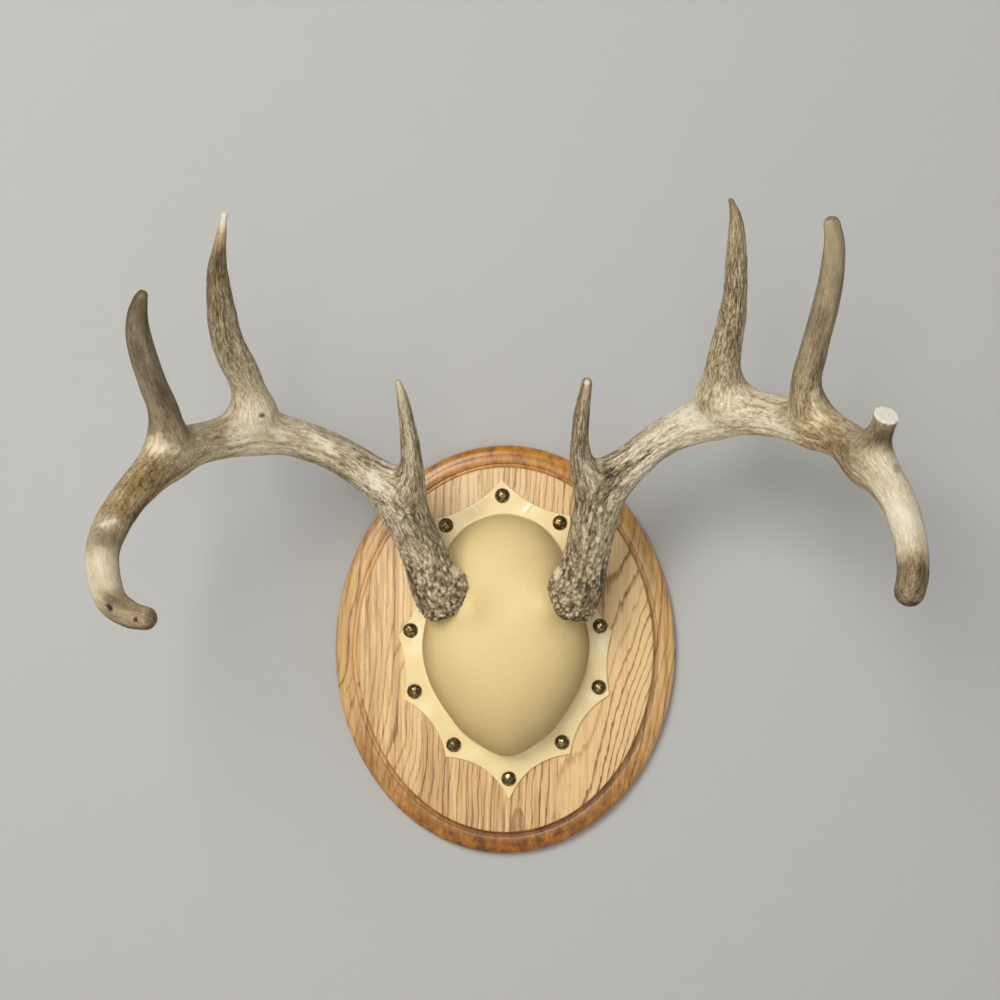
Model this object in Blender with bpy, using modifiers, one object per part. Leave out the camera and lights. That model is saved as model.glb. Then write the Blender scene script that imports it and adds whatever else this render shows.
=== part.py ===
"""Pair of deer antlers on an oval oak plaque, with a moulded skull cover and domed nails.

The origin is the centre of the plaque's back face. +Z is up, +X is the viewer's right, and the
wall is at +Y, so everything stands out towards -Y. Dimensions are in millimetres, and MM turns
them into metres. "out" is a distance from the wall.
"""

import math

import bmesh
import bpy
import numpy as np
from mathutils import Vector

MM = 0.001
GAP = 0.3               # left between touching pieces

# Plaque
BOARD_WIDTH = 254.0
BOARD_HEIGHT = 305.0
BOARD_SEGMENTS = 60
BOARD_EDGE = 4.0        # straight side before the moulding starts
# The routed edge, from the outside in: (step inwards, step out from the wall)
RIM_STEPS = [(0.6, 2.2), (1.8, 2.2), (2.8, 0.9), (1.5, -1.2), (0.8, 2.6), (2.0, 1.4), (2.2, 0.0),
             (1.6, -1.2), (2.4, -0.4)]
RIM_WIDTH = 17.5        # from the board's edge to the face panel
PANEL_OUT = 21.0        # the panel's face
PANEL_RAISE = 2.0       # the panel's centre sits a little above the board's
PANEL_EDGE = 1.0        # eased edge of the panel

# Skull cover
COVER_THICKNESS = 1.8
COVER_CENTRE = (0.0, 8.0)
COVER_TURN = math.radians(1.3)      # it was nailed on slightly turned
SCALLOP_SEGMENTS = 5
# Tips of the skirt on the right, from the top down, and how deep the scallop below each one is
SKIRT_TIPS = [(0, 127, 5), (50, 99, 8), (79, 13, 3), (76, -34, 6.5), (46, -77, 8.5), (0, -110, 0)]
# Right half of the dome's foot, from the top down
DOME_FOOT = [(0, 101), (16, 98), (30, 90), (42, 74), (51, 48), (59, 20), (61, 0), (56, -22),
             (44, -44), (28, -63), (0, -77)]
DOME_HEIGHT = 54.0
DOME_RINGS = [0.985, 0.92, 0.79, 0.6, 0.42, 0.2]
SHOULDER = (31.0, 37.0)             # where the cover rises over a pedicle
SHOULDER_RISE = 15.0
SHOULDER_SPREAD = 13.0

# Decorative nails, right half and centre, as (across, up)
NAIL_PLACES = [(0, 115), (42, 94), (70, 17), (68, -28), (40, -68), (0, -94)]
NAIL_HEAD_RADIUS = 5.5
NAIL_HEAD_RISE = 3.4
NAIL_SHANK_RADIUS = 0.9
NAIL_SHANK_LENGTH = 9.0
NAIL_POINT_LENGTH = 1.5

# Skull cap and what holds it
SKULL_RADII = (42.0, 40.0, 64.0)
SKULL_UP = 14.0
PEDICLE_RADIUS = 13.0
MOUNTING_SCREW_PLACES = [(-6.0, 46.0), (6.0, -22.0)]
MOUNTING_SCREW_LENGTH = 42.0
MOUNTING_SCREW_SHANK = 2.0          # radius
MOUNTING_SCREW_HEAD = 4.2           # radius
MOUNTING_SCREW_SUNK = 0.6           # its head lies below the board's back

# Keyhole hanger, on a block let into the back
HANGER_UP = 98.0
HANGER_BLOCK = (70.0, 36.0)
HANGER_SIZE = (46.0, 18.0, 1.5)
HANGER_RECESS = 3.4
KEYHOLE_RADIUS = 4.6
KEYHOLE_DROP = 2.5
SLOT_SIZE = (5.0, 7.0)
SLOT_RAISE = 1.2
POCKET_SIZE = (14.0, 14.0)
POCKET_DEPTH = 9.0
HANGER_SCREW_ACROSS = 17.0
HANGER_SCREW_SHANK = 1.1            # radius
HANGER_SCREW_HEAD = 2.6             # radius
HANGER_SCREW_HEAD_DEPTH = 0.9
HANGER_SCREW_LENGTH = 8.5
THROUGH = 3.0                       # how far a cutter runs past a face

# Antlers. Each station is (across, out, up, radius). The stations of a beam start at its pedicle
# and end at its tip, and those of a tine start inside the beam that it grows from.
BURR_RISE = 9.5         # how far the burr stands out from the beam
BURR_AT = 13.0          # along the beam
BURR_SPREAD = 4.5
LEFT_BEAM = [
    (-35, 63, 39, 13.5), (-45, 68, 46, 15), (-51, 72, 52, 17.5), (-57, 81, 70, 16),
    (-65, 90, 91, 15), (-77, 99, 113, 14), (-97, 106, 131, 13), (-124, 115, 147, 12.5),
    (-158, 130, 157, 13), (-191, 150, 153, 13), (-217, 187, 142, 13.5), (-238, 238, 113, 11.5),
    (-246, 278, 84, 10.5), (-238, 306, 56, 9.5), (-223, 323, 45, 8), (-206, 335, 42, 6),
]
LEFT_BROW = [(-74, 97, 107, 8), (-66, 111, 124, 8), (-65, 126, 142, 7), (-69, 149, 176, 4.8),
             (-73, 160, 192, 1.7)]
LEFT_SECOND = [(-171, 139, 157, 11), (-175, 162, 191, 12.2), (-182, 187, 213, 11.5),
               (-184, 212, 237, 8.8), (-183, 232, 260, 6), (-176, 250, 291, 1.3)]
LEFT_THIRD = [(-219, 193, 141, 11), (-220, 214, 168, 10.5), (-224, 237, 187, 8.8),
              (-227, 262, 209, 8.2), (-225, 283, 229, 6.2), (-221, 290, 237, 5)]
RIGHT_BEAM = [
    (37, 63, 38, 13.5), (47, 68, 45, 15), (52, 72, 52, 17.5), (57, 81, 71, 16),
    (61, 90, 91, 15.7), (69, 101, 118, 14.5),
    (92, 108, 142, 12.5), (113, 115, 157, 13), (146, 134, 170, 14), (176, 165, 166, 12),
    (199, 192, 160, 12.5), (217, 228, 147, 13), (236, 266, 120, 11.7), (242, 292, 94, 10.2),
    (241, 313, 70, 9.3), (234, 330, 52, 8.8),
]
RIGHT_BROW = [(65, 100, 112, 8), (56, 111, 127, 8), (51, 123, 143, 6.8), (51, 143, 168, 5.6),
              (55, 160, 193, 2.4)]
RIGHT_SECOND = [(146, 135, 168, 12), (145, 153, 191, 12.4), (145, 173, 208, 10.4),
                (147, 207, 238, 8.2), (146, 230, 264, 6.4), (144, 244, 287, 4.2),
                (140, 250, 300, 1.5)]
RIGHT_THIRD = [(199, 193, 159, 10), (193, 211, 185, 9.4), (194, 234, 205, 8.7),
               (198, 267, 238, 8), (199, 284, 264, 6.6), (196, 291, 283, 4.8)]
RIGHT_FOURTH = [(227, 247, 133, 8.5), (229, 257, 146, 7.6), (231, 267, 155, 7.1),
                (233, 276, 163, 9)]
BEAM_SPACING = 19.0
TINE_SPACING = 12.0

DARK_OAK = (0.30, 0.14, 0.04)
LIGHT_OAK = (0.58, 0.40, 0.22)
CREAM_VINYL = (0.72, 0.62, 0.38)
OLD_BRASS = (0.10, 0.07, 0.03)
BONE = (0.72, 0.66, 0.54)
ANTLER = (0.50, 0.42, 0.30)
STEEL = (0.55, 0.55, 0.56)


# --- Scene and objects ---------------------------------------------------------------------

def clear_scene():
    for old in list(bpy.data.objects):
        bpy.data.objects.remove(old, do_unlink=True)


def new_collection(name):
    collection = bpy.data.collections.new(name)
    bpy.context.scene.collection.children.link(collection)
    return collection


clear_scene()
PARTS = new_collection("mounted_antlers")
CUTTERS = new_collection("cutters")


def give_material(obj, colour, roughness, metallic=0.0):
    material = bpy.data.materials.new(obj.name)
    material.use_nodes = True
    shader = material.node_tree.nodes["Principled BSDF"]
    shader.inputs["Base Color"].default_value = (*colour, 1.0)
    shader.inputs["Roughness"].default_value = roughness
    shader.inputs["Metallic"].default_value = metallic
    obj.data.materials.clear()
    obj.data.materials.append(material)


def object_from_bmesh(name, bm, collection=None):
    """A new object from a bmesh whose points are in millimetres."""
    bmesh.ops.scale(bm, vec=(MM, MM, MM), verts=bm.verts)
    bmesh.ops.recalc_face_normals(bm, faces=bm.faces)
    if bm.calc_volume(signed=True) < 0:
        bmesh.ops.reverse_faces(bm, faces=bm.faces)
    mesh = bpy.data.meshes.new(name)
    bm.to_mesh(mesh)
    bm.free()
    mesh.shade_smooth()
    mesh.set_sharp_from_angle(angle=math.radians(35))
    obj = bpy.data.objects.new(name, mesh)
    (collection or PARTS).objects.link(obj)
    if collection is CUTTERS:
        obj.hide_render = True
        obj.display_type = "WIRE"
    return obj


def boolean(obj, other, operation="DIFFERENCE"):
    modifier = obj.modifiers.new(f"{operation.lower()} {other.name}", "BOOLEAN")
    modifier.object = other
    modifier.operation = operation
    modifier.solver = "EXACT"


# --- Turned and boxed shapes -----------------------------------------------------------------

def add_rod(bm, across, up, out_from, out_to, radius, segments):
    """A round rod square to the wall, from one distance out to another."""
    made = bmesh.ops.create_cone(bm, cap_ends=True, segments=segments, radius1=radius,
                                 radius2=radius, depth=out_to - out_from)
    turn = Vector((0, 0, 1)).rotation_difference(Vector((0, -1, 0))).to_matrix()
    bmesh.ops.rotate(bm, verts=made["verts"], cent=(0, 0, 0), matrix=turn)
    bmesh.ops.translate(bm, verts=made["verts"], vec=(across, -(out_from + out_to) / 2, up))


def add_box(bm, across, up, out_from, out_to, width, height):
    made = bmesh.ops.create_cube(bm, size=1)
    bmesh.ops.scale(bm, vec=(width, out_to - out_from, height), verts=made["verts"])
    bmesh.ops.translate(bm, verts=made["verts"], vec=(across, -(out_from + out_to) / 2, up))


def add_turned(bm, profile, across, up, base_out, steps):
    """A solid turned about an axis square to the wall. The profile is (radius, out)."""
    points = [bm.verts.new((radius, -(base_out + out), 0)) for radius, out in profile]
    edges = [bm.edges.new(pair) for pair in zip(points, points[1:])]
    before = set(bm.verts) - set(points)
    bmesh.ops.spin(bm, geom=points + edges, cent=(0, 0, 0), axis=(0, 1, 0),
                   angle=math.tau, steps=steps)
    made = [vert for vert in bm.verts if vert not in before]
    bmesh.ops.translate(bm, verts=made, vec=(across, 0, up))
    bmesh.ops.remove_doubles(bm, verts=made, dist=0.001)


def turned(name, profile, across, up, base_out, steps):
    bm = bmesh.new()
    add_turned(bm, profile, across, up, base_out, steps)
    return object_from_bmesh(name, bm)


# --- Plaque ----------------------------------------------------------------------------------

def oval_slab(name, half_width, half_height, up, out_from, out_to, steps):
    """An oval board whose front edge is routed: each step insets the face and raises it."""
    bm = bmesh.new()
    made = bmesh.ops.create_circle(bm, cap_ends=True, radius=1, segments=BOARD_SEGMENTS)
    turn = Vector((0, 0, 1)).rotation_difference(Vector((0, -1, 0))).to_matrix()
    bmesh.ops.rotate(bm, verts=made["verts"], cent=(0, 0, 0), matrix=turn)
    bmesh.ops.scale(bm, vec=(half_width, 1, half_height), verts=made["verts"])
    bmesh.ops.translate(bm, verts=made["verts"], vec=(0, -out_from, up))
    extruded = bmesh.ops.extrude_face_region(bm, geom=bm.faces[:])
    raised = [item for item in extruded["geom"] if isinstance(item, bmesh.types.BMVert)]
    bmesh.ops.translate(bm, verts=raised, vec=(0, -(out_to - out_from), 0))
    bmesh.ops.recalc_face_normals(bm, faces=bm.faces)
    bm.faces.ensure_lookup_table()
    front = min(bm.faces, key=lambda face: face.calc_center_median().y)
    for inwards, outwards in steps:
        bmesh.ops.inset_region(bm, faces=[front], thickness=inwards, depth=0,
                               use_even_offset=True, use_boundary=True)
        bmesh.ops.translate(bm, verts=front.verts[:], vec=(0, -outwards, 0))
    return object_from_bmesh(name, bm)


def make_plaque():
    board_out = BOARD_EDGE + sum(step[1] for step in RIM_STEPS)
    board = oval_slab("backboard", BOARD_WIDTH / 2, BOARD_HEIGHT / 2, 0, 0, BOARD_EDGE, RIM_STEPS)
    give_material(board, DARK_OAK, 0.4)
    panel = oval_slab("face_panel", BOARD_WIDTH / 2 - RIM_WIDTH,
                      BOARD_HEIGHT / 2 - RIM_WIDTH + PANEL_RAISE / 2, PANEL_RAISE / 2,
                      board_out + GAP, PANEL_OUT - PANEL_EDGE, [(PANEL_EDGE, PANEL_EDGE)])
    give_material(panel, LIGHT_OAK, 0.45)
    return board, panel


# --- Skull cover -----------------------------------------------------------------------------

def turned_with_cover(across, up):
    """A place on the cover, turned with it about its centre."""
    dx = across - COVER_CENTRE[0]
    dz = up - COVER_CENTRE[1]
    cos, sin = math.cos(COVER_TURN), math.sin(COVER_TURN)
    return COVER_CENTRE[0] + dx * cos - dz * sin, COVER_CENTRE[1] + dx * sin + dz * cos


def mirrored(half):
    """A closed outline from its right half, whose first and last points are on the middle."""
    return list(half) + [(-across, *rest) for across, *rest in reversed(half[1:-1])]


def skirt_edge():
    """The scalloped outline: hollow arcs between the tips."""
    tips = SKIRT_TIPS
    depths = [depth for _, _, depth in tips[:-1]]
    depths += reversed(depths)
    outline = mirrored(tips)
    points = []
    for index, (across, up, _) in enumerate(outline):
        start = Vector((across, up))
        end = Vector(outline[(index + 1) % len(outline)][:2])
        chord = end - start
        inwards = Vector((chord.y, -chord.x)).normalized()
        for step in range(SCALLOP_SEGMENTS):
            t = step / SCALLOP_SEGMENTS
            points.append(start + chord * t + inwards * depths[index] * 4 * t * (1 - t))
    return points


def foot_distance(direction):
    """How far the dome's foot is from the cover's centre in a direction."""
    foot = np.array(mirrored(DOME_FOOT), dtype=float) - COVER_CENTRE
    around = [np.roll(foot, shift, axis=0) for shift in (1, 0, -1, -2)]
    fine = np.vstack([smooth_span(*corners, 8) for corners in zip(*around)])
    angles = np.unwrap(np.arctan2(fine[:, 1], fine[:, 0]))
    order = np.argsort(angles)
    return np.interp(direction, angles[order], np.hypot(fine[:, 0], fine[:, 1])[order],
                     period=math.tau)


def smooth_span(before, start, end, after, steps):
    """Points on a smooth curve from start towards end, which the other two points bend."""
    t = np.linspace(0, 1, steps, endpoint=False)[:, None]
    return 0.5 * (2 * start + (end - before) * t
                  + (2 * before - 5 * start + 4 * end - after) * t ** 2
                  + (3 * start - before - 3 * end + after) * t ** 3)


def dome_rise(across, up, fraction):
    """Height of the dome at a place that is a fraction of the way from its top to its foot."""
    steepness = 1 - fraction ** 3
    from_shoulder = math.hypot(abs(across) - SHOULDER[0], up - SHOULDER[1]) / SHOULDER_SPREAD
    return (DOME_HEIGHT * steepness ** 0.5
            + SHOULDER_RISE * min(1, 2 * steepness) * math.exp(-from_shoulder ** 2))


def make_cover(nail_cutter, antler_cutters):
    """An open skin lofted from the scalloped edge to the dome's top, then given its thickness."""
    edge = skirt_edge()
    face_out = PANEL_OUT + GAP + COVER_THICKNESS
    bm = bmesh.new()
    rings = [[(point.x, point.y, face_out) for point in edge]]
    for fraction in [1.0] + DOME_RINGS:
        ring = []
        for point in edge:
            direction = math.atan2(point.y - COVER_CENTRE[1], point.x - COVER_CENTRE[0])
            distance = foot_distance(direction) * fraction
            across = COVER_CENTRE[0] + distance * math.cos(direction)
            up = COVER_CENTRE[1] + distance * math.sin(direction)
            ring.append((across, up, face_out + dome_rise(across, up, fraction)))
        rings.append(ring)
    loops = []
    for ring in rings:
        places = [(*turned_with_cover(across, up), out) for across, up, out in ring]
        loops.append([bm.verts.new((across, -out, up)) for across, up, out in places])
    count = len(edge)
    for outer, inner in zip(loops, loops[1:]):
        for i in range(count):
            j = (i + 1) % count
            bm.faces.new((outer[i], outer[j], inner[j], inner[i]))
    top = bm.verts.new((COVER_CENTRE[0], -(face_out + DOME_HEIGHT), COVER_CENTRE[1]))
    for i in range(count):
        bm.faces.new((loops[-1][i], loops[-1][(i + 1) % count], top))
    cover = object_from_bmesh("skull_cover", bm)
    front = min(cover.data.polygons, key=lambda face: face.center.y)
    if front.normal.y > 0:
        cover.data.flip_normals()
    shell = cover.modifiers.new("wall", "SOLIDIFY")
    shell.thickness = COVER_THICKNESS * MM
    shell.offset = -1
    boolean(cover, nail_cutter)
    for cutter in antler_cutters:
        boolean(cover, cutter)
    give_material(cover, CREAM_VINYL, 0.5)
    return cover


# --- Nails and screws ------------------------------------------------------------------------

def make_nails():
    """Domed nails, numbered clockwise from the top, and the cutter for their holes."""
    head_out = PANEL_OUT + GAP + COVER_THICKNESS + GAP
    head = [(NAIL_HEAD_RADIUS * math.cos(a), NAIL_HEAD_RISE * math.sin(a))
            for a in (math.pi / 2, math.pi / 3, math.pi / 6, 0)]
    profile = head + [(NAIL_SHANK_RADIUS, 0), (NAIL_SHANK_RADIUS, NAIL_POINT_LENGTH - NAIL_SHANK_LENGTH),
                      (0, -NAIL_SHANK_LENGTH)]
    holes = bmesh.new()
    for number, (across, up) in enumerate(mirrored(NAIL_PLACES), start=1):
        across, up = turned_with_cover(across, up)
        nail = turned(f"nail_{number:02d}", profile, across, up, head_out, steps=8)
        give_material(nail, OLD_BRASS, 0.25, 1.0)
        add_rod(holes, across, up, head_out - NAIL_SHANK_LENGTH - GAP, head_out + GAP,
                NAIL_SHANK_RADIUS + GAP, segments=8)
    return object_from_bmesh("nail_holes", holes, CUTTERS)


def screw_profile(length, shank, head, grow=0.0):
    """A countersunk screw whose head's face is at 0 and whose point is out from the wall."""
    return [(0, -grow), (head + grow, -grow), (head + grow, 0.5),
            (shank + grow, head - shank + 0.5), (shank + grow, length - 3), (0, length + grow)]


def make_mounting_screws():
    """Two screws from the back into the skull cap, and the cutter for their holes."""
    size = (MOUNTING_SCREW_LENGTH, MOUNTING_SCREW_SHANK, MOUNTING_SCREW_HEAD)
    hole_profile = screw_profile(*size, grow=GAP)
    hole_profile[:2] = [(0, -THROUGH), (MOUNTING_SCREW_HEAD + GAP, -THROUGH)]
    holes = bmesh.new()
    for number, (across, up) in enumerate(MOUNTING_SCREW_PLACES, start=1):
        screw = turned(f"mounting_screw_{number}", screw_profile(*size), across, up,
                       MOUNTING_SCREW_SUNK, steps=10)
        give_material(screw, STEEL, 0.35, 1.0)
        add_turned(holes, hole_profile, across, up, MOUNTING_SCREW_SUNK, steps=10)
    return object_from_bmesh("mounting_holes", holes, CUTTERS)


def box_cutter(name, up, out_to, width, height):
    bm = bmesh.new()
    add_box(bm, 0, up, -THROUGH, out_to, width, height)
    return object_from_bmesh(name, bm, CUTTERS)


def make_hanger_block(board):
    """A block as thick as the board, in a window of the board that the panel closes in front."""
    board_out = BOARD_EDGE + sum(step[1] for step in RIM_STEPS)
    width, height = HANGER_BLOCK
    block = bmesh.new()
    add_box(block, 0, HANGER_UP, 0, board_out, width, height)
    block = object_from_bmesh("hanger_block", block)
    give_material(block, DARK_OAK, 0.5)
    boolean(board, box_cutter("block_window", HANGER_UP, board_out + THROUGH,
                              width + 2 * GAP, height + 2 * GAP))
    return block


def make_hanger(block):
    """A keyhole plate in a recess, with a pocket behind it for the head of the wall's screw."""
    width, height, thickness = HANGER_SIZE
    plate_out = HANGER_RECESS - GAP - thickness
    plate = bmesh.new()
    add_box(plate, 0, HANGER_UP, plate_out, plate_out + thickness, width, height)
    plate = object_from_bmesh("hanger_plate", plate)
    give_material(plate, STEEL, 0.35, 1.0)
    keyhole = bmesh.new()
    add_rod(keyhole, 0, HANGER_UP - KEYHOLE_DROP, -THROUGH, HANGER_RECESS + THROUGH,
            KEYHOLE_RADIUS, segments=14)
    boolean(plate, object_from_bmesh("keyhole", keyhole, CUTTERS))
    boolean(plate, box_cutter("keyhole_slot", HANGER_UP + SLOT_RAISE, HANGER_RECESS + THROUGH,
                              *SLOT_SIZE))
    boolean(block, box_cutter("hanger_recess", HANGER_UP, HANGER_RECESS,
                              width + 2 * GAP, height + 2 * GAP))
    boolean(block, box_cutter("hook_pocket", HANGER_UP, POCKET_DEPTH, *POCKET_SIZE))

    head_out = plate_out - GAP - HANGER_SCREW_HEAD_DEPTH
    profile = [(0, 0), (HANGER_SCREW_HEAD, 0), (HANGER_SCREW_HEAD, HANGER_SCREW_HEAD_DEPTH),
               (HANGER_SCREW_SHANK, HANGER_SCREW_HEAD_DEPTH),
               (HANGER_SCREW_SHANK, HANGER_SCREW_LENGTH - 1.5), (0, HANGER_SCREW_LENGTH)]
    holes = bmesh.new()
    for number, across in enumerate((-HANGER_SCREW_ACROSS, HANGER_SCREW_ACROSS), start=1):
        screw = turned(f"hanger_screw_{number}", profile, across, HANGER_UP, head_out, steps=10)
        give_material(screw, STEEL, 0.35, 1.0)
        add_rod(holes, across, HANGER_UP, -THROUGH, head_out + HANGER_SCREW_LENGTH + GAP,
                HANGER_SCREW_SHANK + GAP, segments=8)
    holes = object_from_bmesh("hanger_holes", holes, CUTTERS)
    boolean(plate, holes)
    boolean(block, holes)


# --- Antlers ---------------------------------------------------------------------------------

def smooth_route(stations, spacing, burr=False, blunt=False):
    """Points along a smooth curve through hand-placed stations, as x, y, z, radius."""
    points = np.array([(x, -out, up, radius) for x, out, up, radius in stations], dtype=float)
    points = np.vstack([2 * points[0] - points[1], points, 2 * points[-1] - points[-2]])
    spans = [smooth_span(*corners, 16)
             for corners in zip(points, points[1:], points[2:], points[3:])]
    fine = np.vstack(spans + [points[-2:-1]])
    along = np.append(0, np.cumsum(np.linalg.norm(np.diff(fine[:, :3], axis=0), axis=1)))
    length = along[-1]
    end_radius = fine[-1, 3]
    stops = list(np.linspace(0, length, max(4, round(length / spacing) + 1)))
    if burr:
        stops = [stop for stop in stops if stop > BURR_AT + 2.5 * BURR_SPREAD]
        stops += [0, *(BURR_AT + BURR_SPREAD * step for step in (-1, -0.5, 0, 0.5, 1, 2))]
    if blunt:
        stops = [stop for stop in stops if stop < length - 1.5 * end_radius]
        stops += [length - end_radius * step for step in (1, 0.5, 0.15, 0)]
    stops = np.array(sorted(stops))
    route = np.column_stack([np.interp(stops, along, fine[:, column]) for column in range(4)])
    if burr:
        route[:, 3] += BURR_RISE * np.exp(-((stops - BURR_AT) / BURR_SPREAD) ** 2)
    if blunt:
        beyond = np.clip(1 - (length - stops) / end_radius, 0, 0.95)
        route[:, 3] *= np.sqrt(1 - beyond ** 2)
    return route


def tube(name, route, resolution, collection=None):
    """A closed mesh swept along a route, whose thickness changes from point to point."""
    curve = bpy.data.curves.new(name, "CURVE")
    curve.dimensions = "3D"
    curve.bevel_depth = MM
    curve.bevel_resolution = resolution
    curve.use_fill_caps = True
    spline = curve.splines.new("POLY")
    spline.points.add(len(route) - 1)
    for point, (x, y, z, radius) in zip(spline.points, route):
        point.co = (x * MM, y * MM, z * MM, 1)
        point.radius = radius
    guide = bpy.data.objects.new(name + "_guide", curve)
    (collection or PARTS).objects.link(guide)
    bpy.context.view_layer.update()
    evaluated = guide.evaluated_get(bpy.context.evaluated_depsgraph_get())
    mesh = bpy.data.meshes.new_from_object(evaluated)
    bpy.data.objects.remove(guide, do_unlink=True)
    bm = bmesh.new()
    bm.from_mesh(mesh)
    bpy.data.meshes.remove(mesh)
    bmesh.ops.remove_doubles(bm, verts=bm.verts, dist=1e-5)
    bmesh.ops.scale(bm, vec=(1 / MM, 1 / MM, 1 / MM), verts=bm.verts)
    return object_from_bmesh(name, bm, collection)


def grown(route):
    """The same route, thicker and longer by the gap, for a cutter."""
    bigger = route.copy()
    for end, neighbour in ((0, 1), (-1, -2)):
        away = route[end, :3] - route[neighbour, :3]
        bigger[end, :3] += GAP * away / np.linalg.norm(away)
    bigger[:, 3] += GAP * 1.2
    return bigger


def make_antler(side, beam_stations, tines):
    """One antler: its beam with the burr, and its tines cut to sit against the beam."""
    route = smooth_route(beam_stations, BEAM_SPACING, burr=True, blunt=True)
    beam = tube(f"{side}_main_beam", route, 4)
    give_material(beam, ANTLER, 0.6)
    cutter = tube(f"{side}_beam_cutter", grown(route), 4, CUTTERS)
    for name, stations, blunt in tines:
        tine = tube(f"{side}_{name}_tine", smooth_route(stations, TINE_SPACING, blunt=blunt), 3)
        boolean(tine, cutter)
        give_material(tine, ANTLER, 0.6)
    return cutter


def pedicle(name, beam, radius):
    """A cutter of the stub of bone that runs from inside the skull cap up into a beam's foot."""
    foot, burr = (Vector(station[:3]) for station in beam[:2])
    inside = foot - Vector((foot.x * 0.6, 24, 14))
    seat = foot.lerp(burr, 0.25)
    stations = [(*place, radius) for place in (inside, inside.lerp(foot, 0.6), foot, seat)]
    return tube(name, smooth_route(stations, TINE_SPACING), 4, CUTTERS)


def make_skull_plate(cutters):
    """The sawn skull cap, flat on the panel, with a pedicle running up into each burr."""
    back = PANEL_OUT + GAP
    bm = bmesh.new()
    bmesh.ops.create_uvsphere(bm, u_segments=24, v_segments=12, radius=1)
    bmesh.ops.scale(bm, vec=SKULL_RADII, verts=bm.verts)
    bmesh.ops.translate(bm, verts=bm.verts, vec=(0, -back, SKULL_UP))
    bmesh.ops.bisect_plane(bm, geom=bm.verts[:] + bm.edges[:] + bm.faces[:],
                           plane_co=(0, -back, 0), plane_no=(0, 1, 0), clear_outer=True)
    bmesh.ops.holes_fill(bm, edges=[edge for edge in bm.edges if edge.is_boundary])
    cap = object_from_bmesh("skull_plate", bm)
    for side, beam in (("left", LEFT_BEAM), ("right", RIGHT_BEAM)):
        boolean(cap, pedicle(f"{side}_pedicle", beam, PEDICLE_RADIUS), "UNION")
    for cutter in cutters:
        boolean(cap, cutter)
    give_material(cap, BONE, 0.7)


def main():
    board, panel = make_plaque()
    left = make_antler("left", LEFT_BEAM, [
        ("brow", LEFT_BROW, False), ("second", LEFT_SECOND, False), ("third", LEFT_THIRD, True)])
    right = make_antler("right", RIGHT_BEAM, [
        ("brow", RIGHT_BROW, False), ("second", RIGHT_SECOND, False),
        ("third", RIGHT_THIRD, True), ("fourth", RIGHT_FOURTH, False)])
    nail_holes = make_nails()
    screw_holes = make_mounting_screws()
    make_skull_plate([screw_holes, left, right])
    openings = [pedicle("left_opening", LEFT_BEAM, PEDICLE_RADIUS + 1),
                pedicle("right_opening", RIGHT_BEAM, PEDICLE_RADIUS + 1)]
    make_cover(nail_holes, openings + [left, right])
    boolean(panel, nail_holes)
    boolean(panel, screw_holes)
    boolean(board, screw_holes)
    make_hanger(make_hanger_block(board))


main()
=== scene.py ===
# %% [markdown]
# # A pair of deer antlers on an oval oak plaque
#
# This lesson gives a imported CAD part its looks. The part is a pair of branching antlers on a
# small oval board. The board has a dark routed rim and a pale raised panel. A moulded cream
# cover hides the skull cap, and ten domed nails hold it. Every number below is in millimetres
# unless it says otherwise, and MM turns it into metres.

# %% Load the frame
import functools
import math
import time

import bmesh
import bpy
import numpy as np
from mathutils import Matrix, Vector, noise


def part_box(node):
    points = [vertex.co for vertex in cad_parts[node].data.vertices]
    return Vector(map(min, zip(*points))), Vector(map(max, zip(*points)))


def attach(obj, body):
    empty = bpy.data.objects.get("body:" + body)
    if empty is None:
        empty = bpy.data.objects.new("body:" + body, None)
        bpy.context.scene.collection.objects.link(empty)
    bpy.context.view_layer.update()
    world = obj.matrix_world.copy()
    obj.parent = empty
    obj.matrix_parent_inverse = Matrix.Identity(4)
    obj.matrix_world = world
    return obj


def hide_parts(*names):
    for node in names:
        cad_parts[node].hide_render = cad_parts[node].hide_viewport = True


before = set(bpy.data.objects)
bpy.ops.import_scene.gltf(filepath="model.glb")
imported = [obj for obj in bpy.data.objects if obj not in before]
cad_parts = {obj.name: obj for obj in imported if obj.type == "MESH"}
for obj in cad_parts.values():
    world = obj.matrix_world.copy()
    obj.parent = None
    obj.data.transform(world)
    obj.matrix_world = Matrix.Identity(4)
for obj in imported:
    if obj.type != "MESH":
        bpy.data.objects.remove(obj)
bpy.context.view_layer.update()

MM = 0.001
STARTED = time.time()
print("nodes in the frame:", len(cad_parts))

# %% [markdown]
# ## Shared helpers
#
# Most pieces here are made from arrays of points and faces. A piece's object stays at the
# origin, so that patterns on its Object coordinates stay where they are put.

# %% Making objects
def mesh_object(name, points, faces, smooth_angle=40):
    """An object from points in millimetres."""
    mesh = bpy.data.meshes.new(name)
    mesh.from_pydata((np.asarray(points) * MM).tolist(), [], faces)
    mesh.update()
    return shaded_object(name, mesh, smooth_angle)


def shaded_object(name, mesh, smooth_angle=40):
    mesh.shade_smooth()
    mesh.set_sharp_from_angle(angle=math.radians(smooth_angle))
    made = bpy.data.objects.new(name, mesh)
    bpy.context.scene.collection.objects.link(made)
    return made


def fix_normals(made):
    """Merges doubled points and turns every face outwards."""
    bm = bmesh.new()
    bm.from_mesh(made.data)
    bmesh.ops.remove_doubles(bm, verts=bm.verts, dist=1e-6)
    bmesh.ops.recalc_face_normals(bm, faces=bm.faces)
    if bm.calc_volume(signed=True) < 0:
        bmesh.ops.reverse_faces(bm, faces=bm.faces)
    bm.to_mesh(made.data)
    bm.free()


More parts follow.
